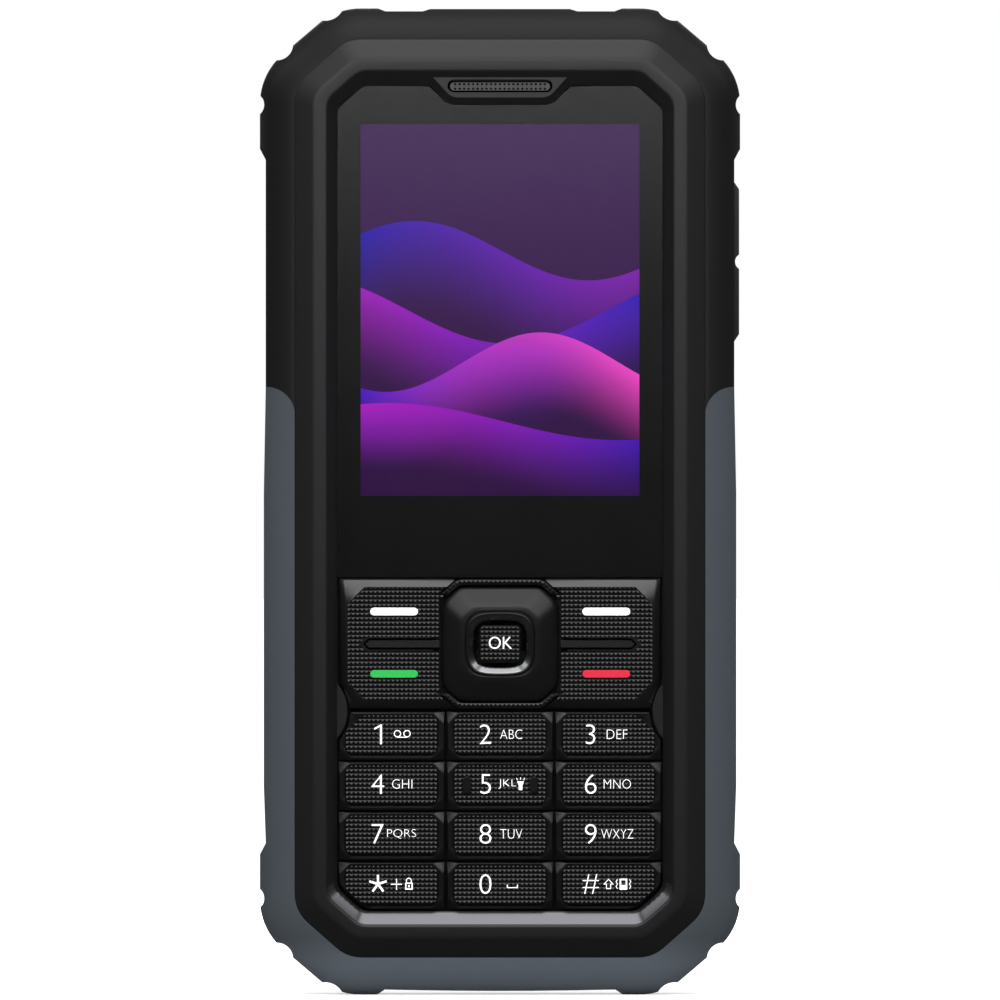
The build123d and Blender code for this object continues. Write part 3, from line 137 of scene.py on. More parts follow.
# Each line: two tones, two roughnesses, grain and lift in mm, specular level, share of metal, more.
recipes = {
    "frame_black": (grey(0.004, 0.006), (0.36, 0.44), 0.16, 0.004, 0.3),
    "guard_black": (grey(0.004, 0.006), (0.46, 0.56), 0.2, 0.008, 0.16),
    "guard_grey": (((0.0355, 0.043, 0.0505), (0.045, 0.0535, 0.063)), (0.5, 0.6), 0.2, 0.008, 0.2),
    "key_black": (grey(0.002, 0.003), (0.26, 0.34), 0.12, 0.003, 0.34),
    "plate_black": (grey(0.002, 0.003), (0.26, 0.34), 0.12, 0.003, 0.52),
    "nav_satin": (grey(0.003, 0.005), (0.26, 0.32), 0.1, 0.002, 0.23),
    "silicone": (grey(0.012, 0.018), (0.55, 0.7), 0.3, 0.01, 0.3),
    "adhesive_foam": (grey(0.001, 0.0016), (0.7, 0.85), 0.25, 0.02, 0.0),
    "window_black": (grey(0.001, 0.0016), (0.7, 0.85), 0.25, 0.002, 0.0),
    "steel_mesh": (grey(0.042, 0.06), (0.35, 0.5), 0.1, 0.004, 0.5, 0.9),
    "steel": (grey(0.36, 0.46), (0.24, 0.38), 0.15, 0.003, 0.5, 1.0),
    "brass": (((0.55, 0.38, 0.16), (0.66, 0.47, 0.22)), (0.25, 0.4), 0.15, 0.004, 0.5, 1.0),
    "circuit_board": (((0.01, 0.06, 0.03), (0.015, 0.085, 0.045)), (0.35, 0.5), 0.4, 0.01),
    "inner_plastic": (grey(0.012, 0.02), (0.4, 0.55), 0.2, 0.008, 0.3),
    "led_white": (((0.75, 0.66, 0.28), (0.85, 0.78, 0.4)), (0.3, 0.45), 0.3, 0.01),
    "bevel_polish": (
        grey(0.01, 0.013), (0.2, 0.24), 0.3, 0.0005, 1.0, 0.0, {"Specular Tint": (0.92, 0.92, 1, 1)}),
    "camera_glass": (((0.004, 0.004, 0.012), (0.006, 0.005, 0.018)), (0.04, 0.07), 0.3, 0.0, 0.9),
    "ring_polish": (grey(0.17, 0.203), (0.22, 0.26), 0.3, 0.0005, 0.5, 1.0),
}
for name, recipe in recipes.items():
    moulded(name, *recipe)

# The grey guard runs smoothly into a paler tone from foot_end down to foot_start: painted light that
# stands in for light from below on the foot.
foot_start, foot_end, most = 3.4 * MM, 8.0 * MM, 0.85
tree = finishes["guard_grey"].node_tree
sockets = tree.nodes["Principled BSDF"].inputs
height = add(tree, "SeparateXYZ", {"Vector": add(tree, "TexCoord")["Object"]})["Z"]
# Painted light: the share of the paler tone, most at the foot and none above foot_end.
painted_foot_light = ramp(height, most, 0.0, foot_start, foot_end)
grained = sockets["Base Color"].links[0].from_socket
feed(sockets, {"Base Color": blend(painted_foot_light, grained, (0.074, 0.088, 0.105))})
print("finishes", len(finishes))

# %% [markdown]
# ## Clear and lit materials
# The window, the camera disc and the torch lens are clear, the legends are lit from behind and the
# screen shines by itself. A clear shell is cheapest as a see-through shader with a thin gloss on it:
# Fresnel adds the gloss at a slant, as real glass does.

# %% Clear and lit materials
def clear(name, ior, rough, patch=6):
    """See-through, with a gloss on the entering side, shared by Fresnel; noise of patch mm roughens it."""
    tree, _ = blank(name)
    tree.nodes.remove(tree.nodes["Principled BSDF"])
    place = add(tree, "TexCoord")["Object"]
    noise = add(tree, "TexNoise", {"Vector": place, "Scale": 1 / (patch * MM)})["Fac"]
    gloss = add(tree, "BsdfGlossy", {"Roughness": ramp(noise, *rough, kind="LINEAR")})["BSDF"]
    through = add(tree, "BsdfTransparent")["BSDF"]
    outside = calc("SUBTRACT", 1.0, add(tree, "NewGeometry")["Backfacing"])
    share = calc("MULTIPLY", add(tree, "Fresnel", {"IOR": ior})["Fac"], outside)
    surface = add(tree, "MixShader", {"Fac": share, 1: through, 2: gloss})["Shader"]
    feed(tree.nodes["Material Output"].inputs, {"Surface": surface})


def lit(name, tones, strength):
    """A moulded translucent colour with light behind it."""
    glow = {"Emission Color": (*tones[1], 1), "Emission Strength": strength}
    moulded(name, tones, (0.4, 0.5), 0.3, 0.002, 0.3, 0.0, glow)


clear("window_glass", 1.4, (0.24, 0.27))
clear("clear_plastic", 1.45, (0.03, 0.06))
lit("legend_white", ((0.86, 0.86, 0.87), (0.95, 0.95, 0.95)), 0.35)
lit("send_green", ((0.014, 0.34, 0.06), (0.017, 0.39, 0.069)), 0.1)
lit("end_red", ((0.5, 0.008, 0.031), (0.56, 0.01, 0.037)), 0.1)
finishes["screen"] = finishes["inner_plastic"]
print("finishes", len(finishes))

# %% [markdown]
# ## CAD nodes take their finishes
# The record names a slot for each node and a body that carries it, so one pass dresses them all.

# %% Dress the CAD nodes
slot_of = {part["node"]: part["material_slot"] for part in frame["record"]["subparts"]}
bodies = frame["record"]["behaviour"]["bodies"]
body_of = {node: body for body, nodes in bodies.items() for node in nodes}
for node, part in frame["nodes"].items():
    part.data.materials.clear()
    part.data.materials.append(finishes[slot_of[node]])
print("dressed", len(slot_of), "nodes")

# %% [markdown]
# ## Broken edges
# No moulded edge is razor sharp: a radius of a tenth of a millimetre catches a thin line of light,
# and without it plastic looks like paper. The solids stay as they are, so a copy of each outer one is
# merged into one skin, its flat triangles are dissolved and, where a radius is given, a Bevel modifier
# rounds the sharp edges.

# %% Soften the outer solids
scene = bpy.context.scene
crease = np.radians(24)


def placed(name, data):
    """A new object in the scene."""
    thing = bpy.data.objects.new(name, data)
    scene.collection.objects.link(thing)
    return thing


def softened(node, radius):
    """A merged copy of a CAD node whose edges sharper than the crease are rounded by radius mm."""
    mesh = frame["nodes"][node].data.copy()
    if "custom_normal" in mesh.attributes:
        mesh.attributes.remove(mesh.attributes["custom_normal"])
    skin = bmesh.new()
    skin.from_mesh(mesh)
    bmesh.ops.remove_doubles(skin, verts=skin.verts, dist=2e-6)
    bmesh.ops.dissolve_limit(skin, angle_limit=np.radians(0.4), verts=skin.verts, edges=skin.edges)
    skin.to_mesh(mesh)
    skin.free()
    mesh.shade_smooth()
    mesh.set_sharp_from_angle(angle=crease)
    part = placed(node + "_soft", mesh)
    if radius:
        edge = part.modifiers.new("edge", "BEVEL")
        edge.width, edge.segments, edge.limit_method = radius * MM, 2, "ANGLE"
        edge.angle_limit, edge.harden_normals, edge.use_clamp_overlap = crease, True, True
    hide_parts(node)
    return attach(part, body_of[node])


digits = ["key_" + sign for sign in (*"123456789", "star", "0", "hash")]
radii = {
    "upper_bumper": 0, "lower_bumper": 0, "front_frame": 0.1, "rear_housing": 0.12,
    "battery_cover": 0.1, "usb_cover": 0.12, "jack_cover": 0.12, "volume_rocker": 0.15,
    "left_function_key": 0, "right_function_key": 0, "key_dividers": 0.06, "ok_key": 0.06,
    **{name: 0 for name in digits}}
soft = {node: softened(node, radius) for node, radius in radii.items()}
soft["key_dividers"].data.materials[0] = finishes["frame_black"]
print("softened", len(soft), "solids")

# %% [markdown]
# ## Pieces from outlines
# Many small pieces of a keypad are plates: legends, bars, pads. The outline is a list of corners that
# are rounded, and the plate carries it from one depth to another. Depths are measured from the middle
# plane towards the front, so a point (x, z, depth) becomes (x, -depth, z).

# %% Outlines and plates
def unit(vectors):
    """The rows made one long."""
    return vectors / np.linalg.norm(vectors, axis=1, keepdims=True)


def rounded(corners, radius, steps=6):
    """Each corner becomes a parabola arc that starts and ends radius / tan(half its angle) away from it;
    the radius is one for all corners or an array with one for each."""
    p = np.asarray(corners, float)
    back, ahead = unit(np.roll(p, 1, 0) - p), unit(np.roll(p, -1, 0) - p)
    half = np.arccos(np.clip((back * ahead).sum(1), -1, 1)) / 2
    reach = (radius / np.tan(half))[:, None, None]
    t = np.linspace(0, 1, steps)[None, :, None]
    arc = p[:, None] + reach * ((1 - t) ** 2 * back[:, None] + t ** 2 * ahead[:, None])
    return arc.reshape(-1, 2)


def bent(corners, radius, steps=6):
    """A path through four corners, of which the two in the middle are rounded."""
    middle = rounded(corners, radius, steps)[steps:3 * steps]
    return np.r_[corners[:1], middle, corners[-1:]]


def rectangle(x_low, x_high, z_low, z_high):
    """The four corners, from the lower left round."""
    return np.array([(x_low, z_low), (x_high, z_low), (x_high, z_high), (x_low, z_high)])


def stadium(middle, length, height, steps=9):
    """A bar with half-round ends, standing or lying."""
    r, run = min(length, height) / 2, abs(length - height) / 2
    angle = np.linspace(-np.pi / 2, np.pi / 2, steps)
    cap = np.c_[np.cos(angle) * r + run, np.sin(angle) * r]
    outline = np.r_[cap, -cap]
    return (outline if length > height else outline[:, ::-1] * (-1, 1)) + middle


def circle(middle, radius, start=0, end=360, steps=24):
    """Points on a circle or, between two angles in degrees, on an arc."""
    angle = np.radians(np.linspace(start, end, steps, endpoint=abs(end - start) < 360))
    return np.c_[np.cos(angle), np.sin(angle)] * radius + middle


def stacked(loops, depths, ring=True, caps=False):
    """Rows of equally long paths at their depths, neighbours joined by quads. A ring closes each path, and
    caps fill the first and last; without a ring the rows end as they began, and their ends are filled."""
    loops = np.asarray(loops, float)
    rows, n = loops.shape[:2]
    depths = np.broadcast_to(np.asarray(depths, float)[:, None, None], (rows, n, 1))
    k = np.arange(rows - 1)[:, None] * n
    a = np.arange(n if ring else n - 1)
    b = (a + 1) % n
    faces = np.stack([k + a, k + b, k + n + b, k + n + a], -1).reshape(-1, 4).tolist()
    if caps:
        faces += [list(range(n))[::-1], list(range((rows - 1) * n, rows * n))]
    if not ring:
        faces += [(k[:, 0] + end).tolist() for end in (0, n - 1)]
    return np.concatenate([loops, depths], -1).reshape(-1, 3), faces


def plate(outline, low, high):
    """The outline at depth low and again at depth high, with walls between."""
    return stacked([outline, outline], [low, high], caps=True)


def swept(outline, rows, **options):
    """Outlines stacked: each row gives the sizes for the outline and, last, its depth."""
    return stacked([outline(*sizes) for *sizes, _ in rows], [depth for *_, depth in rows], **options)


def merged(parts):
    """Several (points, faces) shapes as one."""
    starts = np.cumsum([0] + [len(points) for points, _ in parts])
    faces = [[i + start for i in face] for (_, shape), start in zip(parts, starts) for face in shape]
    return np.concatenate([points for points, _ in parts]), faces


print("faces of a cube", len(plate(rectangle(0, 1, 0, 1), 0, 1)[1]))

# %% [markdown]
# A shape of points and faces becomes an object, a Boolean cuts it with another shape, and two readers
# give a CAD node's box and a mesh's data.

# %% Objects from shapes
def piece(name, shape, finish, smooth=None):
    """A mesh object from (x, z, depth) points in mm, with its faces turned outwards."""
    points, faces = shape
    mesh = bpy.data.meshes.new(name)
    mesh.from_pydata((np.asarray(points)[:, [0, 2, 1]] * (MM, -MM, MM)).tolist(), [], faces)
    skin = bmesh.new()
    skin.from_mesh(mesh)
    bmesh.ops.remove_doubles(skin, verts=skin.verts, dist=1e-8)
    bmesh.ops.recalc_face_normals(skin, faces=skin.faces)
    skin.to_mesh(mesh)
    skin.free()
    if smooth:
        mesh.shade_smooth()
        mesh.set_sharp_from_angle(angle=np.radians(smooth))
    mesh.materials.append(finishes[finish])
    return placed(name, mesh)


def carved(part, shape, operation="DIFFERENCE"):
    """The part after a Boolean with a shape, as a plain mesh."""
    tool = piece("cutter", shape, "frame_black")
    change = part.modifiers.new("carve", "BOOLEAN")
    change.operation, change.object, change.solver = operation, tool, "EXACT"
    depsgraph = bpy.context.evaluated_depsgraph_get()
    result = bpy.data.meshes.new_from_object(part.evaluated_get(depsgraph))
    part.modifiers.clear()
    part.data = result
    bpy.data.objects.remove(tool)
    return part


def box_of(node):
    """A CAD node's (x low, x high), (z low, z high) and front depth in mm."""
    low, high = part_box(node)
    return (low.x / MM, high.x / MM), (low.z / MM, high.z / MM), -low.y / MM


def read(items, name="co", width=3):
    """A property of all vertices, faces or loops of a mesh, one row each."""
    flat = np.zeros(width * len(items))
    items.foreach_get(name, flat)
    return flat.reshape(-1, width)


print("key 5 box", box_of("key_5"))

# %% [markdown]
# ## Front rim
# Facet, flat lip and polished inner slope run round the whole front as one moulded rim. Bevelling the
# solid breaks its corners into flat chips, so the rim is drawn as a profile carried along the core's
# outline: each row of the profile says how far in the outline has moved and how deep it lies, and
# extra rows by each crease make it soft.

# %% Profile carried along the rim
core_half, core_foot, core_top = 27.0, 5.0, 125.8
core_cut, core_radius = (6.9, 6.1), 5.0


def rim(side, end):
    """The core's outline moved in by side and end: a rectangle with cut corners, all eight rounded."""
    half, low, high = core_half - side, core_foot + end, core_top - end
    cut_x, cut_z = (cut * (1 - 0.09 * side) for cut in core_cut)
    corners = [(half, low + cut_z), (half, high - cut_z), (half - cut_x, high), (cut_x - half, high),
               (-half, high - cut_z), (-half, low + cut_z), (cut_x - half, low), (half - cut_x, low)]
    return rounded(corners, core_radius - side / 2, 12)


rim_rows = [
    (-0.12, -0.12, 7.4), (-0.1, -0.1, 7.52), (-0.02, -0.02, 7.6), (0.15, 0.15, 7.66),
    (2.2, 2.2, 8.4), (2.38, 2.38, 8.455), (2.58, 2.58, 8.488), (2.85, 2.85, 8.499),
    (3.88, 3.88, 8.499), (4.04, 4.04, 8.485), (4.18, 4.2, 8.43), (4.3, 4.36, 8.34),
    (5.42, 5.88, 7.22), (5.52, 6.02, 7.12), (5.53, 6.03, 6.95), (-0.12, -0.12, 6.95),
    (-0.12, -0.12, 7.4)]
slope_row, polish_top = 11, 17 * MM
front_rim = piece("front_rim", swept(rim, rim_rows), "frame_black", 50)
front_rim.data.materials.append(finishes["bevel_polish"])
faces = front_rim.data.polygons
row = np.arange(len(faces)) * (len(rim_rows) - 1) // len(faces)
polished = (row == slope_row) & (read(faces, "center")[:, 2] < polish_top)
faces.foreach_set("material_index", polished.astype(np.int32))
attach(front_rim, "chassis")
print("rim faces", len(faces))

# %% [markdown]
# The softened frame has the same front, so it stands back by a few hundredths of a millimetre. Its
# earpiece tongue, which gets a rounder cap further down, is pressed flat under the pane.

# %% Frame stands back
core_mesh = soft["front_frame"].data
place = read(core_mesh.vertices)
lens_front = box_of("lens_window")[2]
under_pane = -(lens_front - 0.25) * MM
tongue = (np.abs(place[:, 0]) < 10.6 * MM) & (place[:, 2] > 115 * MM) & (place[:, 2] < 121.3 * MM)
facing = ~tongue & (place[:, 1] < -7.45 * MM)
raised = tongue & (place[:, 1] < under_pane)
place[facing, 1] += 0.06 * MM
place[raised, 1] = under_pane + 0.05 * (place[raised, 1] - under_pane)
core_mesh.vertices.foreach_set("co", place.ravel())
print("vertices moved", facing.sum() + raised.sum())

# %% [markdown]
# ## Knurled tops
# The grip of the keys comes from rows of tiny square pyramids. A bump map would shade them, but their
# edges show in profile and their upper faces catch the lamp, so they are real: a lattice whose cells
# each rise to a point, cut to the pad's outline. Four faces a pyramid keep it light.

# %% Knurl lattice
knurl_pitch, knurl_height, knurl_foot = 0.584, 0.175, 0.15


def lattice(low, high):
    """Corners of a square lattice that covers the box from low to high and has the same middle."""
    cells = np.ceil((high - low) / knurl_pitch)
    steps = np.indices(cells.astype(int) + 1).transpose(1, 2, 0)
    return (low + high) / 2 + (steps - cells / 2) * knurl_pitch


def knurl(grid, base, height, foot):
    """Pyramids on a grid of corners at base: each cell's middle lies height above, the floor foot below."""
    index = np.arange(grid.size // 2).reshape(grid.shape[:2])
    cells = np.stack([index[:-1, :-1], index[1:, :-1], index[1:, 1:], index[:-1, 1:]], -1).reshape(-1, 4)
    corners = grid.reshape(-1, 2)
    tips = corners[cells].mean(1)
    tip = len(corners) + np.arange(len(tips))
    sides = [np.c_[cell, after, tip] for cell, after in zip(cells.T, np.roll(cells, -1, 1).T)]
    ring = np.r_[index[:-1, 0], index[-1, :-1], index[:0:-1, -1], index[0, :0:-1]]
    under = len(corners) + len(tips) + np.arange(len(ring))
    walls = np.c_[ring, np.roll(ring, -1), np.roll(under, -1), under]
    flat = np.r_[corners, tips, corners[ring]]
    depth = np.repeat([base, base + height, base - foot], [len(corners), len(tips), len(ring)])
    return np.c_[flat, depth], np.concatenate(sides).tolist() + walls.tolist() + [under[::-1].tolist()]


def knurled(name, outline, top):
    """A key's knurl: the lattice over the outline's box, just above the key's top, cut to the outline."""
    shape = knurl(lattice(outline.min(0), outline.max(0)), top + 0.01, knurl_height, knurl_foot)
    field = piece(name + "_knurl", shape, "key_black")
    return carved(field, plate(outline, top - 0.1, top + 1), "INTERSECT")


print("knurl pitch and height in mm", knurl_pitch, knurl_height)

# %% [markdown]
# ## Digit keys
# Each digit key has a knurled pad with a border that slopes down to the gaps. The four corner keys of
# the block also follow the frame: its round lugs above, the slant of the well below.

# %% Digit keys
block_corner = {"key_star": 0, "key_hash": 1, "key_3": 2, "key_1": 3}
block_foot, row_pitch, column_pitch = 11.05, 6.6, 14.3
pad_half, pad_low, pad_high, pad_cut = 5.97, 0.95, 5.96, [(0, 1.9), (2.3, 0)]
lug = [(0, 3.75), (1.13, 1.9), (1.5, 0)]
slant = [(0, 3.94), (0.14, 3.17), (0.73, 2.33), (2.75, 0.54), (3.41, 0.14), (4.17, 0)]
# Rows of the border: inset, cut of the corners, depth.
border_rows = [
    (0.8, 0.9, 7.07), (0.32, 1.42, 7.1), (0.24, 1.4, 7.11), (0.17, 1.3, 7.09),
    (0.06, 0.3, 6.82), (0.0, 0.14, 6.72), (0.0, 0.14, 5.62), (0.8, 0.9, 5.62),
    (0.8, 0.9, 7.07)]


def key_outline(name, x_span, z_span, plain, upper, lower):
    """A rectangle from the lower left round, each corner drawn by a list of steps inwards: plain, or upper
    and lower at the corners of the whole block."""
    corners = []
    for k, (sx, sz) in enumerate(((1, 1), (-1, 1), (-1, -1), (1, -1))):
        x, z = x_span[sx < 0], z_span[sz < 0]
        shape = plain if block_corner.get(name) != k else upper if sz < 0 else lower
        run = [(x + sx * dx, z + sz * dz) for dx, dz in shape]
        corners += run if sx == sz else run[::-1]
    return corners


def pad_outline(name):
    """The knurled pad, placed by the key's row and column in the block."""
    row, column = divmod(digits.index(name), 3)
    x, z = column_pitch * (column - 1), block_foot + row_pitch * (3 - row)
    spans = (x - pad_half, x + pad_half), (z + pad_low, z + pad_high)
    return rounded(key_outline(name, *spans, [(0, 0)], pad_cut, pad_cut), 1.0)


def border_outline(name, inset, cut):
    """The key's cell set in by inset, each corner cut."""
    (x0, x1), (z0, z1), _ = box_of(name)
    spans = (x0 + inset, x1 - inset), (z0 + inset, z1 - inset)
    return rounded(key_outline(name, *spans, [(0, cut), (cut, 0)], lug, slant), 0.08, 3)


for name in digits:
    key_mesh = soft[name].data
    place = read(key_mesh.vertices)
    shoulder = (place[:, 1] < -6.3 * MM) & (place[:, 1] > -7.3 * MM)
    place[shoulder, 1] += 0.35 * MM
    key_mesh.vertices.foreach_set("co", place.ravel())
    shape = swept(lambda inset, cut: border_outline(name, inset, cut), border_rows)
    border = piece(name + "_border", shape, "key_black", 20)
    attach(border, name)
    field = knurled(name, pad_outline(name), box_of(name)[2])
    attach(field, name)
print("digit keys", len(digits))

# %% [markdown]
# ## Function plates
# The two plates beside the four-way key carry the same knurl, less the outlines of that key, of the
# bands above and below it and of the divider bar. A border runs from the pad's edge down to the rim.

# %% Function plates
nav_z = 46.25
field_edge = [(6.4, -7.4), (17.72, -7.4), (20.02, -5.1), (20.02, 5.1), (17.72, 7.4), (6.4, 7.4)]
nav_gap = [
    (8.1, -5.78), (8.1, 5.78), (5.4, 7.98), (-5.4, 7.98),
    (-8.1, 5.78), (-8.1, -5.78), (-5.4, -7.98), (5.4, -7.98)]
band_gap = [(-8.45, 6.4), (8.45, 6.4), (5.6, 8.9), (-5.6, 8.9)]
divider_gap = [(7, -0.95), (17.75, -0.95), (18.6, 0), (17.75, 0.95), (7, 0.95)]
pad_edge = [
    (7.0, -7.5), (17.85, -7.5), (18.62, -6.73), (19.38, -5.97),
    (20.15, -5.2), (20.15, 5.2), (17.85, 7.5), (7.0, 7.5)]
plate_edge = [
    (5.9, -8.5), (19.86, -8.5), (20.05, -7.3), (20.5, -6.15),
    (21.15, -5.16), (21.15, 8.15), (20.8, 8.5), (5.9, 8.5)]
# Rows of the border: share of the way from the pad's edge to the plate's, depth.
plate_rows = [
    (0.0, 7.7), (0.06, 7.69), (0.88, 7.16), (0.96, 7.08),
    (1.0, 6.95), (1.0, 5.6), (0.0, 5.6), (0.0, 7.7)]
strips = [rectangle(8.1, 9.3, -6.3, -0.95), rectangle(8.1, 9.3, 0.95, 6.3)]


def by_nav(points, side=1, way=1):
    """Points about the four-way key's middle, mirrored to a side or upside down."""
    return np.array(points) * (side, way) + (0, nav_z)


for name, side in (("left_function_key", -1), ("right_function_key", 1)):
    top = box_of(name)[2]
    field = knurled(name, rounded(by_nav(field_edge, side), 0.35), top)
    gaps = by_nav(nav_gap), by_nav(band_gap, 1, -1), by_nav(band_gap), by_nav(divider_gap, side)
    for gap in gaps:
        carved(field, plate(gap, top - 1, top + 1))
    pull = np.subtract(plate_edge, pad_edge)
    shape = swept(lambda share: by_nav(pad_edge + share * pull, side), plate_rows, ring=False)
    border = piece(name + "_border", shape, "plate_black", 30)
    shape = merged([plate(by_nav(strip, side), 6.0, top) for strip in strips])
    shoulder = piece(name + "_shoulder", shape, "key_black")
    for part in (border, field, shoulder):
        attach(part, name)
print("plate knurl faces", len(field.data.polygons))

# %% [markdown]
# ## Centre key and bands
# The centre key has a small pad of its own. The bands by the four-way key are one pyramid wide and
# turn two corners, so their knurl follows a path.

# %% Centre key and bands
ok_pad = rounded(by_nav(rectangle(-2.5, 2.5, -2.2, 2.2)), 0.5)
field = knurled("ok_key", ok_pad, box_of("ok_key")[2])
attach(field, "ok_key")


def strip_of(path, width):
    """Pairs of corners, half a width to each side of a path cut into equal steps of about a pitch."""
    run = np.r_[0, np.cumsum(np.linalg.norm(np.diff(path, axis=0), axis=1))]
    stops = np.linspace(0, run[-1], int(run[-1] / knurl_pitch) + 1)
    line = np.c_[np.interp(stops, run, path[:, 0]), np.interp(stops, run, path[:, 1])]
    ahead = unit(np.gradient(line, axis=0))
    side = np.c_[-ahead[:, 1], ahead[:, 0]] * width / 2
    return np.stack([line + side, line - side], 1)


band_path = bent([(-7.2, 6.74), (-5.5, 8.12), (5.5, 8.12), (7.2, 6.74)], 1.4)
band_top = box_of("key_dividers")[2] + 0.01
grids = [strip_of(by_nav(band_path, 1, way), 0.5) for way in (-1, 1)]
band = piece("band_knurl", merged([knurl(grid, band_top, 0.14, 0.12) for grid in grids]), "key_black")
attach(band, "chassis")
print("band knurl faces", len(band.data.polygons))

# %% [markdown]
# ## Four-way key
# A satin key like a low cushion with a dished hole. It could be sculpted from a subdivided box, but
# its eight-sided plan and smooth crown are easy as a surface: a ring of radii by angle, carried along
# a profile of sizes and depths that runs from the outer foot over the crown and down the hole.

# %% Four-way key
nav_around = 160
# Rows of the profile: half x, half z, share that is cut off the corners, power, depth.
nav_rows = [
    (7.72, 7.6, 0.29, 28, 5.4), (7.72, 7.6, 0.29, 28, 6.62), (7.62, 7.5, 0.29, 28, 6.8),
    (7.3, 7.15, 0.29, 28, 6.98), (6.9, 6.7, 0.31, 28, 7.14), (5.3, 5.05, 0.34, 24, 7.66),
    (4.66, 4.34, 0.3, 12, 7.74), (4.56, 4.24, 0.3, 10, 7.62), (4.46, 4.14, 0.3, 9, 7.86),
    (4.34, 4.02, 0.3, 9, 7.9), (4.2, 3.88, 0.3, 9, 7.86), (3.44, 3.1, 0.28, 9, 7.22),
    (3.4, 3.06, 0.28, 9, 7.0), (3.4, 3.06, 0.28, 9, 5.4)]
shiny_rows = np.arange(79, 90)


def cushion(profile, steps=8, blur=5):
    """Radius at an angle is the high-power mean of a rectangle and its cut corners. The profile's rows are
    joined by straight steps and blurred along the profile; the last loop closes onto the first."""
    rows = np.asarray(profile, float)
    t = np.linspace(0, len(rows) - 1, (len(rows) - 1) * steps + 1)
    columns = (np.interp(t, np.arange(len(rows)), column) for column in rows.T)
    padded = (np.pad(column, blur // 2, mode="edge") for column in columns)
    hx, hz, cut, power, depth = (np.convolve(v, np.ones(blur) / blur, "valid")[:, None] for v in padded)
    angle = np.linspace(0, 2 * np.pi, nav_around, endpoint=False)
    c, s = np.abs(np.cos(angle)) / hx, np.abs(np.sin(angle)) / hz
    radius = (c ** power + s ** power + ((c + s) / (2 - cut)) ** power) ** (-1 / power)
    loops = np.stack([radius * np.cos(angle), nav_z + radius * np.sin(angle)], -1)
    points, faces = stacked(np.r_[loops, loops[:1]], np.r_[depth, depth[:1]][:, 0])
    return points[:-nav_around], (np.array(faces) % loops[..., 0].size).tolist()


nav = piece("nav_cushion", cushion(nav_rows), "nav_satin", 60)
nav.data.materials.append(finishes["ring_polish"])
faces = nav.data.polygons
shine = np.isin(np.arange(len(faces)) // nav_around, shiny_rows)
faces.foreach_set("material_index", shine.astype(np.int32))
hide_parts("nav_ring")
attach(nav, "nav_ring")
print("four-way key faces", len(faces))

# %% [markdown]
# ## Legends
# The digits and letters are a second, translucent shot of plastic, lit from behind. Text objects give
# the glyphs; each is turned into a mesh, scaled to its cap height and set into the knurl so that it
# ends level with the tips of the pyramids. Places are given in steps across and down the front view.

# %% Letters and digits
legend_foot, legend_rise = 0.05, 0.2
STEP = 0.132


def glyphs(text, middle, cap, width=None, thin=0.018):
    """Points and faces of a word: middle is its (x, z), cap the height of its capitals, width its span."""
    curve = bpy.data.curves.new("glyphs", "FONT")
    curve.body, curve.extrude, curve.resolution_u, curve.offset = text, 0.5, 4, -thin
    thing = bpy.data.objects.new("glyphs", curve)
    mesh = bpy.data.meshes.new_from_object(thing)
    bpy.data.objects.remove(thing)
    p = read(mesh.vertices)
    low, high = p.min(0), p.max(0)
    scale_z = cap / (high[1] - low[1])
    scale_x = width / (high[0] - low[0]) if width else scale_z
    flat = (p - (low + high) / 2)[:, :2] * (scale_x, scale_z) + middle
    depth = np.where(p[:, 2] > 0, legend_rise, -legend_foot)
    return np.c_[flat, depth], [list(face.vertices) for face in mesh.polygons]


def at(across, down):
    """A place on the face in mm; the view's middle is at 499.5 steps and the phone's foot at 993.9."""
    return (across - 499.5) * STEP, (993.9 - down) * STEP


line_of = dict(zip(digits, np.repeat([733.6, 783.2, 833.0, 883.0], 3)))
# Each key: its figure and where it stands, its letters and where they begin and end.
words = {
    "key_2": ("2", 485, "ABC", 499.7, 521.6), "key_3": ("3", 589.7, "DEF", 606, 626.5),
    "key_4": ("4", 377.5, "GHI", 392, 412), "key_5": ("5", 485.2, "JKL", 498, 515.6),
    "key_6": ("6", 590, "MNO", 603, 630), "key_7": ("7", 377.5, "PQRS", 387, 415.7),
    "key_8": ("8", 485, "TUV", 499.7, 521.6), "key_9": ("9", 590, "WXYZ", 600.5, 632.7),
    "key_0": ("0", 485), "key_hash": ("#", 590)}
figure_cap, letter_cap = 2.57, 1.22
legends = {}
for name, (figure, x, *letters) in words.items():
    legends[name] = [glyphs(figure, at(x, line_of[name]), figure_cap)]
    if letters:
        text, left, right = letters
        middle = at((left + right) / 2, line_of[name])
        legends[name].append(glyphs(text, middle, letter_cap, (right - left) * STEP, 0.024))
legends["key_star"], legends["key_1"] = [], []
legends["ok_key"] = [glyphs("OK", at(499.9, 642.4), 1.6, 3.05, 0.008)]
print("legends on", len(legends), "keys")

# %% [markdown]
# ## Signs
# The small signs are the common ones of every keypad: message loops, a torch, a lock, a space bar, a
# shift arrow and a shaking handset. They are drawn with a pen: a path gets a constant width from the
# normals at its points, which is all a line sign needs.

# %% Pen
def stroke(path, width, closed=False):
    """A path's points moved half a width to each side along the mean normal, as a plate."""
    p = np.asarray(path, float)
    beyond = p[:1] if closed else 2 * p[-1:] - p[-2:-1]
    ahead = unit(np.diff(p, axis=0, append=beyond))
    back = np.r_[ahead[-1:] if closed else ahead[:1], ahead[:-1]]
    mean = unit(ahead + back)
    reach = width / 2 / np.clip((mean * ahead).sum(1), 0.4, 1)
    side = np.c_[-mean[:, 1], mean[:, 0]] * reach[:, None]
    left, right, low, high = p + side, p - side, -legend_foot, legend_rise
    return stacked([left, right, right, left, left], [low, low, high, high, low], closed)


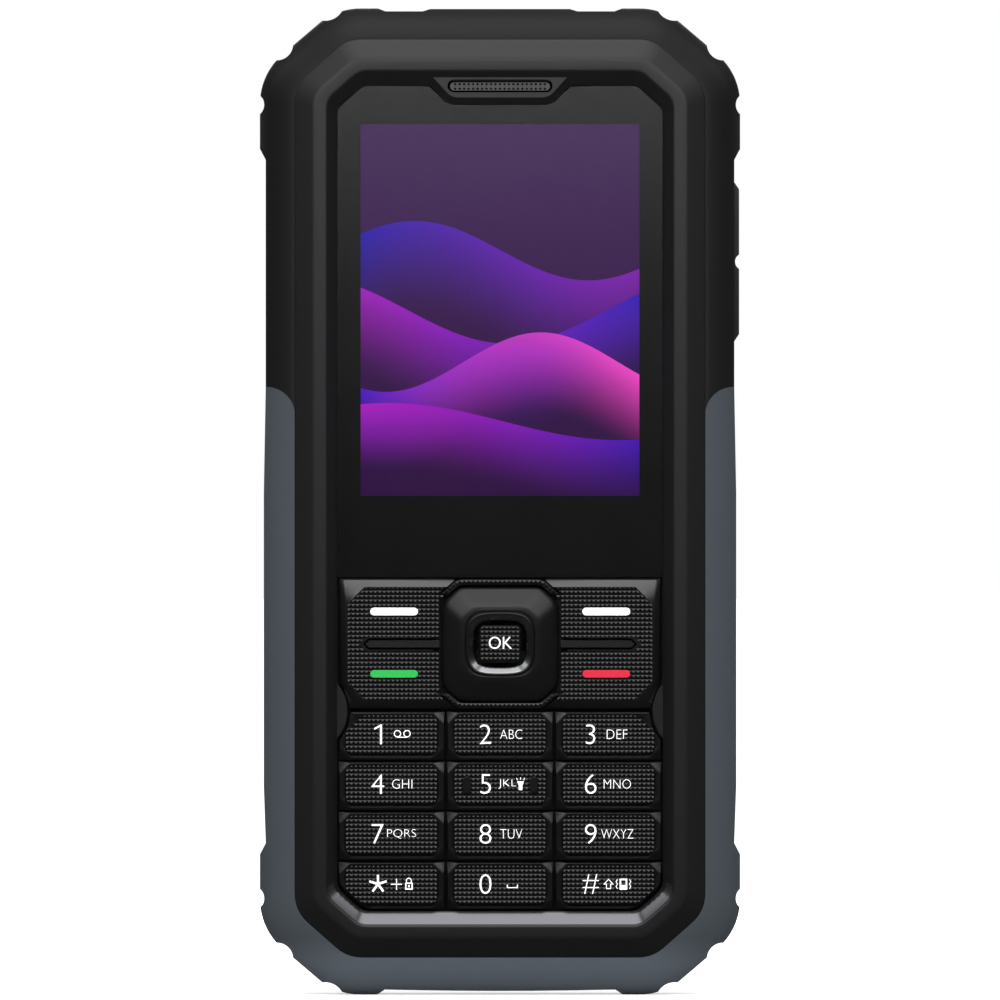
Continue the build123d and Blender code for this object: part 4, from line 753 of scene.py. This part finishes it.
def drawn(width, *spots, closed=False):
    """A stroke through places given in steps."""
    return stroke([at(*spot) for spot in spots], width, closed)


def filled(*spots):
    """A plate whose corners are given in steps."""
    return plate([at(*spot) for spot in spots], -legend_foot, legend_rise)


pen, fine_pen = 0.11, 0.088
print("pen", pen)

# %% Signs drawn with the pen
torch_rays = [((517, 779.4), (515.8, 777.2)), ((520, 779), (520, 776.6)), ((523, 779.4), (524.2, 777.2))]
star = np.array(at(377.8, 883))
shackle = [at(406.2, 882), *circle(at(408.6, 879.6), 0.32, 180, 0, 10), at(411, 882)]
legends["key_1"] += [
    drawn(0.21, (374.2, 728.4), (380, 725)), drawn(0.25, (380.8, 723.9), (380.8, 743.4)),
    *(stroke(circle(at(x, 733), 0.42), pen, True) for x in (397.2, 406.8)),
    drawn(pen, (397.2, 736.6), (406.8, 736.6))]
legends["key_5"] += [
    filled((516.6, 780.6), (523.4, 780.6), (522, 784), (518, 784)),
    filled((518.2, 784.2), (521.8, 784.2), (521.8, 789.2), (518.2, 789.2)),
    *(drawn(fine_pen, *ray) for ray in torch_rays)]
legends["key_star"] += [
    *(stroke([star, tip], 0.27) for tip in circle(star, 1.2, 90, 450, 5)),
    drawn(pen, (390.8, 883.2), (401.8, 883.2)), drawn(pen, (396.3, 877.7), (396.3, 888.7)),
    drawn(0.15, (405.6, 882.2), (411.8, 882.2), (411.8, 888), (405.6, 888), closed=True),
    filled((408, 884), (409.4, 884), (409.4, 886.2), (408, 886.2)), stroke(shackle, pen)]
legends["key_0"] += [drawn(pen, (506.8, 883.6), (506.8, 886.6), (516.8, 886.6), (516.8, 883.6))]
legends["key_hash"] += [
    drawn(0.0935, (607.8, 878.2), (612.2, 883), (609.9, 883), (609.9, 887.6), (605.7, 887.6),
          (605.7, 883), (603.4, 883), closed=True),
    drawn(0.2, (619.6, 878.4), (625.6, 878.4), (625.6, 887.8), (619.6, 887.8), closed=True),
    filled((620.6, 884), (624.6, 884), (624.6, 886.8), (620.6, 886.8))]
for x, far in ((616.6, 615.2), (628.6, 630.0)):
    shake = (x, 878.4), (far, 880.6), (x, 883), (far, 885.4), (x, 887.6)
    legends["key_hash"].append(drawn(fine_pen, *shake))
print("parts of the legends", sum(map(len, legends.values())))

# %% Set the legends into the keys
for name, parts in legends.items():
    points, faces = merged(parts)
    label = piece(name + "_legend", (points + (0, 0, box_of(name)[2]), faces), "legend_white")
    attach(label, name)
print("legend pieces", len(legends))

# %% [markdown]
# ## Bars on the keys
# Two white bars mark the soft keys, a green and a red one mark send and end, and two blind bars on key
# 5 guide the thumb. All are low stadium plates with a rounded rim.

# %% Bars
def bar(name, middle, length, height, rise, body, finish):
    """A stadium plate that stands on a key's top by rise."""
    top = box_of(body)[2]
    part = piece(name, plate(stadium(middle, length, height), top - 0.1, top + rise), finish, 30)
    edge = part.modifiers.new("rim", "BEVEL")
    edge.width, edge.segments, edge.limit_method, edge.harden_normals = 0.06 * MM, 2, "ANGLE", True
    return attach(part, body)


plate_marks = [(-1, "left_function_key", "send_green"), (1, "right_function_key", "end_red")]
for side, body, colour in plate_marks:
    x = 499.7 + side * 105.8
    bar(body + "_upper_mark", at(x, 611.2), 6.3, 1.0, 0.22, body, "legend_white")
    bar(body + "_lower_mark", at(x, 673.4), 6.3, 1.0, 0.22, body, colour)
guides = [466.4, 533.2]
for x in guides:
    bar(f"key_5_guide_{x:.0f}", at(x, 784.2), 1.06, 2.2, 0.3, "key_5", "key_black")
print("bars", 2 * len(plate_marks) + len(guides))

# %% [markdown]
# ## Screen picture
# The lit panel shows a plain wallpaper of soft waves in violet, blue and magenta. It is a flat grid
# just in front of the panel with its own UV map, and the waves are sums of sines worked out in the
# shader, so no picture file is needed.

# %% Wallpaper
def wallpaper(ribbons, falloff=1.6):
    """Background by height; each ribbon is bright at a sine crest and fades below it."""
    tree, sockets = blank("screen_waves")
    split = add(tree, "SeparateXYZ", {"Vector": add(tree, "UVMap")["UV"]})
    u, v = split["X"], split["Y"]
    colour = blend(v, (0.023, 0.001, 0.048), (0.04, 0.003, 0.08))
    for crest, swing, turns, shift, fade, left, right in ribbons:
        phase = calc("ADD", calc("MULTIPLY", u, turns * 2 * np.pi), shift)
        wave = calc("MULTIPLY", calc("SINE", phase), swing)
        below = calc("SUBTRACT", calc("ADD", wave, crest), v)
        inside = calc("GREATER_THAN", below, 0.0)
        glow = calc("SUBTRACT", 1.0, calc("DIVIDE", below, fade), clamp=True)
        share = calc("MULTIPLY", inside, calc("POWER", glow, falloff))
        colour = blend(share, colour, blend(u, left, right))
    feed(sockets, {
        "Emission Color": colour, "Emission Strength": 1.0, "Base Color": (0.001, 0.001, 0.001, 1),
        "Specular IOR Level": 0.0, "Roughness": 0.4})


# Each ribbon: height of its crest, swing, turns, shift, fade, colours at the left and right.
wallpaper([
    (0.66, 0.08, 0.8, 0.6, 0.26, (0.016, 0.004, 0.4), (0.2, 0.006, 0.4)),
    (0.5, 0.09, 0.7, 2.4, 0.24, (0.34, 0.007, 0.48), (0.02, 0.004, 0.46)),
    (0.36, 0.08, 0.9, 4.2, 0.22, (0.06, 0.005, 0.52), (0.88, 0.06, 0.55)),
    (0.2, 0.05, 0.6, 1.2, 0.18, (0.4, 0.007, 0.5), (0.05, 0.004, 0.42))])
print("wallpaper nodes", len(finishes["screen_waves"].node_tree.nodes))

# %% Screen picture
screen_z, half_wide, half_high = 90.22, 18.36, 24.48
across, up = 24, 32
panel_front = box_of("display_module")[2]
u, v = np.indices((across + 1, up + 1)).reshape(2, -1) / [[across], [up]]
x, z = (2 * u - 1) * half_wide, screen_z + (2 * v - 1) * half_high
points = np.c_[x, z, np.full(u.size, panel_front + 0.03)]
a = (np.arange(across)[:, None] * (up + 1) + np.arange(up)).ravel()
cells = np.c_[a, a + up + 1, a + up + 2, a + 1].tolist()
picture = piece("screen_picture", (points, cells), "screen_waves")
if picture.data.polygons[0].normal.y > 0:
    picture.data.flip_normals()
corner = read(picture.data.loops, "vertex_index", 1).astype(int)
picture.data.uv_layers.new(name="UVMap").data.foreach_set("uv", np.c_[u, v][corner].ravel())
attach(picture, "chassis")
print("screen picture", len(picture.data.polygons), "faces")

# %% [markdown]
# ## Window
# The pane has a notch round the earpiece whose four corners are soft, so it is a plate with that
# outline. It is clear, and the black border that hides the panel's rim is printed on its back: a thin
# plate with the same outline and an opening for the lit area.

# %% Pane and its printed border
(x_low, x_high), (z_low, z_high), _ = box_of("lens_window")
lens_back = -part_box("lens_window")[1].y / MM
cut_x, cut_z, notch_top, notch_foot, notch_z = 3.45, 3.05, 9.08, 7.01, 117.2
corners = [
    (x_low, z_low), (x_high, z_low), (x_high, z_high - cut_z), (x_high - cut_x, z_high),
    (notch_top, z_high), (notch_foot, notch_z), (-notch_foot, notch_z), (-notch_top, z_high),
    (x_low + cut_x, z_high), (x_low, z_high - cut_z)]
edge = rounded(corners, np.array([0.1, 0.1, 0.5, 0.5, 3.6, 3.0, 3.0, 3.6, 0.5, 0.5]))
pane = piece("window_pane", plate(edge, lens_back, lens_front), "window_glass")
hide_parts("lens_window")
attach(pane, "chassis")
border = piece("window_print", plate(edge, lens_back - 0.06, lens_back - 0.01), "window_black")
lit_area = rectangle(-half_wide, half_wide, screen_z - half_high, screen_z + half_high)
carved(border, plate(lit_area, lens_back - 1, lens_back + 1))
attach(border, "chassis")
print("pane faces", len(pane.data.polygons))

# %% [markdown]
# ## Earpiece
# A tongue with soft corners stands over the pane, and a perforated strip lies in its slot. The strip is
# a little smaller than the slot and lies on black cloth, so a dark line frames it and its holes are dark.
# That line is painted shade of the recess round the strip; behind the holes the cloth is a dust cloth.

# %% Earpiece
face = lens_front + 0.7
# Rows of the tongue: half width and height at its top, the same at its foot, corner radius, depth.
tongue_rows = [
    (10.05, 120.92, 6.97, 117.24, 3.0, lens_front - 0.4), (10.05, 120.92, 6.97, 117.24, 3.0, lens_front),
    (9.0, 120.9, 6.44, 118.1, 2.0, face - 0.08), (8.94, 120.89, 6.4, 118.15, 2.0, face - 0.02),
    (8.84, 120.88, 6.36, 118.2, 2.0, face)]
slot_middle, strip_middle = (0, 119.72), (0, 119.65)
hole_pitch, hole_radius, hole_rise, hole_columns = 0.59, 0.17, 0.3, 21


def tongue_outline(half_top, top, half_foot, foot, radius):
    """A trapezoid that is wide at the top, its two lower corners rounded."""
    return bent([(-half_top, top), (-half_foot, foot), (half_foot, foot), (half_top, top)], radius)


cap = piece("tongue_cap", swept(tongue_outline, tongue_rows, caps=True), "frame_black")
carved(cap, plate(stadium(slot_middle, 13.86, 1.69), lens_front - 1, face + 1))
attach(cap, "chassis")
# Black backing: painted shade in the gap round the strip, and a dust cloth behind its holes.
shape = plate(stadium(slot_middle, 14.0, 1.83), face - 0.5, face - 0.4)
cloth_and_shade = piece("earpiece_cloth_and_shade", shape, "window_black")
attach(cloth_and_shade, "chassis")
shape = plate(stadium(strip_middle, 13.16, 1.06), face - 0.45, face - 0.28)
strip = piece("earpiece_grille", shape, "steel_mesh")
columns = hole_pitch * (np.arange(hole_columns) - hole_columns // 2)
middles = [np.add(strip_middle, (x, way * hole_rise)) for x in columns for way in (-1, 1)]
holes = [plate(circle(middle, hole_radius, steps=6), face - 1, face) for middle in middles]
carved(strip, merged(holes))
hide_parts("earpiece_mesh")
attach(strip, "chassis")
print("earpiece holes", len(holes))

# %% [markdown]
# ## Grip of the battery cover
# A cover that is lifted with a fingernail needs a place to push. Shallow slots across its foot are the
# simplest grip that a mould can make, and cutting them with one Boolean keeps the cover one skin.

# %% Grip slots
slot_heights = 19.0 + 2.6 * np.arange(7)
slots = merged([plate(stadium((0, z), 25.0, 1.2), -8.6, -8.0) for z in slot_heights])
carved(soft["battery_cover"], slots)
print("grip slots", len(slot_heights))

# %% [markdown]
# ## Camera eye
# Behind the clear disc on the back sits the camera's stepped barrel with a small domed lens. Both are
# surfaces of revolution: a profile of radius and depth, turned round the camera's axis. A profile starts
# and ends by the axis or closes on itself.

# %% Camera eye
def turned(profile, middle, around=48, axis=0.1):
    """Rows of (radius, depth) turned about middle; a profile that starts by the axis is capped."""
    return swept(lambda radius: circle(middle, radius, steps=around), profile, caps=profile[0][0] < axis)


low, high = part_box("camera_window")
eye = (low.x + high.x) / 2 / MM, (low.z + high.z) / 2 / MM
front, back, deep = -low.y / MM + 0.05, -high.y / MM, box_of("rear_camera")[2]
steps = [
    (0.02, deep), (4.2, deep), (4.2, front), (3.3, front), (3.05, front + 0.1), (3.05, front + 0.45),
    (2.4, front + 0.5), (2.4, front + 0.8), (1.9, front + 0.85), (0.02, front + 0.85)]
barrel = piece("camera_barrel", turned(steps, eye), "nav_satin", 30)
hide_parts("rear_camera")
arc = np.radians(np.linspace(0, 89.4, 12))
crown = np.c_[1.85 * np.cos(arc), front + 0.85 - 0.5 * np.sin(arc)]
dome = piece("camera_dome", turned(np.r_[[(0.02, front + 0.9)], crown], eye), "camera_glass", 40)
collar = [
    (4.9, back + 0.3), (4.9, back - 0.12), (5.0, back - 0.25), (5.55, back - 0.3), (5.8, back - 0.22),
    (6.0, back + 0.3), (4.9, back + 0.3)]
ring = piece("camera_ring", turned(collar, eye), "nav_satin", 40)
for part in (barrel, dome, ring):
    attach(part, "chassis")
print("camera eye at", [round(v, 2) for v in eye])

# %% [markdown]
# ## Torch
# Under the clear bar on the top edge a shallow bright cup surrounds the lamp chip, so the bar does not
# look like a hole. The cup is a profile carried along a rounded rectangle; here the path lies level, so
# its rows are stacked along Z.

# %% Torch cup
low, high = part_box("torch_lens")
torch_middle = (low.x + high.x) / 2 / MM, -(low.y + high.y) / 2 / MM
chip_z, lens_z, rim_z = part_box("torch_led")[1].z / MM, low.z / MM, high.z / MM - 0.2
# Rows of the cup: half width, half depth, height.
cup_rows = [
    (4.46, 1.96, rim_z), (4.36, 1.86, rim_z), (3.6, 1.5, lens_z + 0.3), (1.7, 1.4, chip_z + 0.03),
    (1.6, 1.3, chip_z - 0.1), (4.46, 1.96, chip_z - 0.1), (4.46, 1.96, rim_z)]
points, faces = swept(lambda x, y: rounded(rectangle(-x, x, -y, y) + torch_middle, 0.5), cup_rows)
torch_cup = piece("torch_cup", (points[:, [0, 2, 1]], faces), "steel", 30)
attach(torch_cup, "chassis")
print("torch cup faces", len(torch_cup.data.polygons))

# %% [markdown]
# ## Surround and floor
# A pale floor and a white surround, as in a catalogue shot. Both look white to the camera, but a mirror
# ray sees them only where a studio would be bright, so that the gloss stays deep.

# %% Surround
scene.view_settings.view_transform = "Standard"


def seen(share):
    """What a ray sees of a glow: camera rays and rays through clear pieces all, mirror rays a share."""
    path = add(share.id_data, "LightPath")
    direct = calc("MAXIMUM", path["Is Camera Ray"], path["Is Transmission Ray"])
    mirror = path["Is Glossy Ray"]
    return direct, mirror, calc("MAXIMUM", direct, calc("MULTIPLY", mirror, share))


world = bpy.data.worlds.new("surround")
scene.world = world
world.use_nodes = True
tree = world.node_tree
way = add(tree, "SeparateXYZ", {"Vector": add(tree, "TexCoord")["Generated"]})
overhead, behind = ramp(way["Z"], 0.015, 0.4, 0.0, 0.9), ramp(way["Y"], 0.0, 1.0, 0.7, 0.98)
direct, mirror, shown = seen(calc("MAXIMUM", overhead, behind))
plain = calc("SUBTRACT", 1.0, calc("MAXIMUM", direct, mirror))
strength = calc("ADD", shown, calc("MULTIPLY", plain, 0.35))
feed(tree.nodes["Background"].inputs, {"Color": (1, 1, 1, 1), "Strength": strength})
print("surround nodes", len(tree.nodes))

# %% Floor
reach = 12.0
floor_mesh = bpy.data.meshes.new("floor")
square = np.c_[rectangle(-reach, reach, -reach, reach), np.zeros(4)]
floor_mesh.from_pydata(square.tolist(), [], [(0, 1, 2, 3)])
floor = placed("floor", floor_mesh)
tree, sockets = blank("pale_floor")
place = add(tree, "TexCoord")["Object"]
behind = ramp(add(tree, "SeparateXYZ", {"Vector": place})["Y"], 0.0, 1.0, 0.05, 0.6)
_, mirror, shown = seen(behind)
far = ramp(add(tree, "VectorMath", {0: place}, operation="LENGTH")["Value"], 0.5, 1.0, 0.15, 0.7)
feed(sockets, {
    "Base Color": blend(mirror, (0.85, 0.85, 0.85), (0.04, 0.04, 0.04)), "Roughness": 0.9,
    "Specular IOR Level": 0.0, "Emission Color": (1, 1, 1, 1),
    "Emission Strength": calc("MULTIPLY", shown, far)})
floor_mesh.materials.append(finishes["pale_floor"])
print("floor", 2 * reach, "m wide")

# %% [markdown]
# ## Light and camera
# A broad lamp hangs over the phone, because the upper faces of the slopes and of the knurl are the
# bright ones, and a second one stands high in front, so that flat faces darken gently from the top to
# the foot. The camera looks square at the face from far away through a long lens, which keeps the
# outlines nearly parallel.

# %% Lamps
def lamp(name, place, target, size, radiance):
    """A soft rectangular lamp at place, turned to target; its power is radiance times pi times its area."""
    light = bpy.data.lights.new(name, "AREA")
    light.shape, light.size, light.size_y = "RECTANGLE", *size
    light.energy = radiance * np.pi * size[0] * size[1]
    thing = placed(name, light)
    way = np.subtract(target, place)
    pitch, turn = np.arctan2(np.hypot(way[0], way[1]), -way[2]), np.arctan2(-way[0], way[1])
    thing.location, thing.rotation_euler = place, (pitch, 0, turn)
    return thing


keypad, window = (0, 0, 0.06), (0, 0, 0.11)
lamps = [
    lamp("softbox", (0, -0.41, 0.63), keypad, (0.6, 0.56), 3.75),
    lamp("overhead", (0, -0.03, 0.75), keypad, (0.5, 0.24), 2.4),
    lamp("front_strip", (0, -0.3, 0.175), window, (0.3, 0.08), 6.2),
    lamp("left", (-0.5, -0.12, 0.52), keypad, (0.3, 0.3), 2.6),
    lamp("right", (0.5, -0.12, 0.52), keypad, (0.3, 0.3), 2.6),
    lamp("back", (0, 0.65, 0.33), keypad, (0.6, 0.3), 3.0)]
print("lamps", [light.name for light in lamps])

# %% Camera
camera = bpy.data.cameras.new("camera")
distance, view_width, eye_height = 3.0, 0.132, 0.0652
camera.sensor_width, camera.lens = 36.0, 36.0 * distance / view_width
camera.clip_end = 60
viewer = placed("camera", camera)
viewer.location, viewer.rotation_euler = (0, -distance, eye_height), (np.pi / 2, 0, 0)
scene.camera = viewer
print("lens", round(camera.lens), "mm")
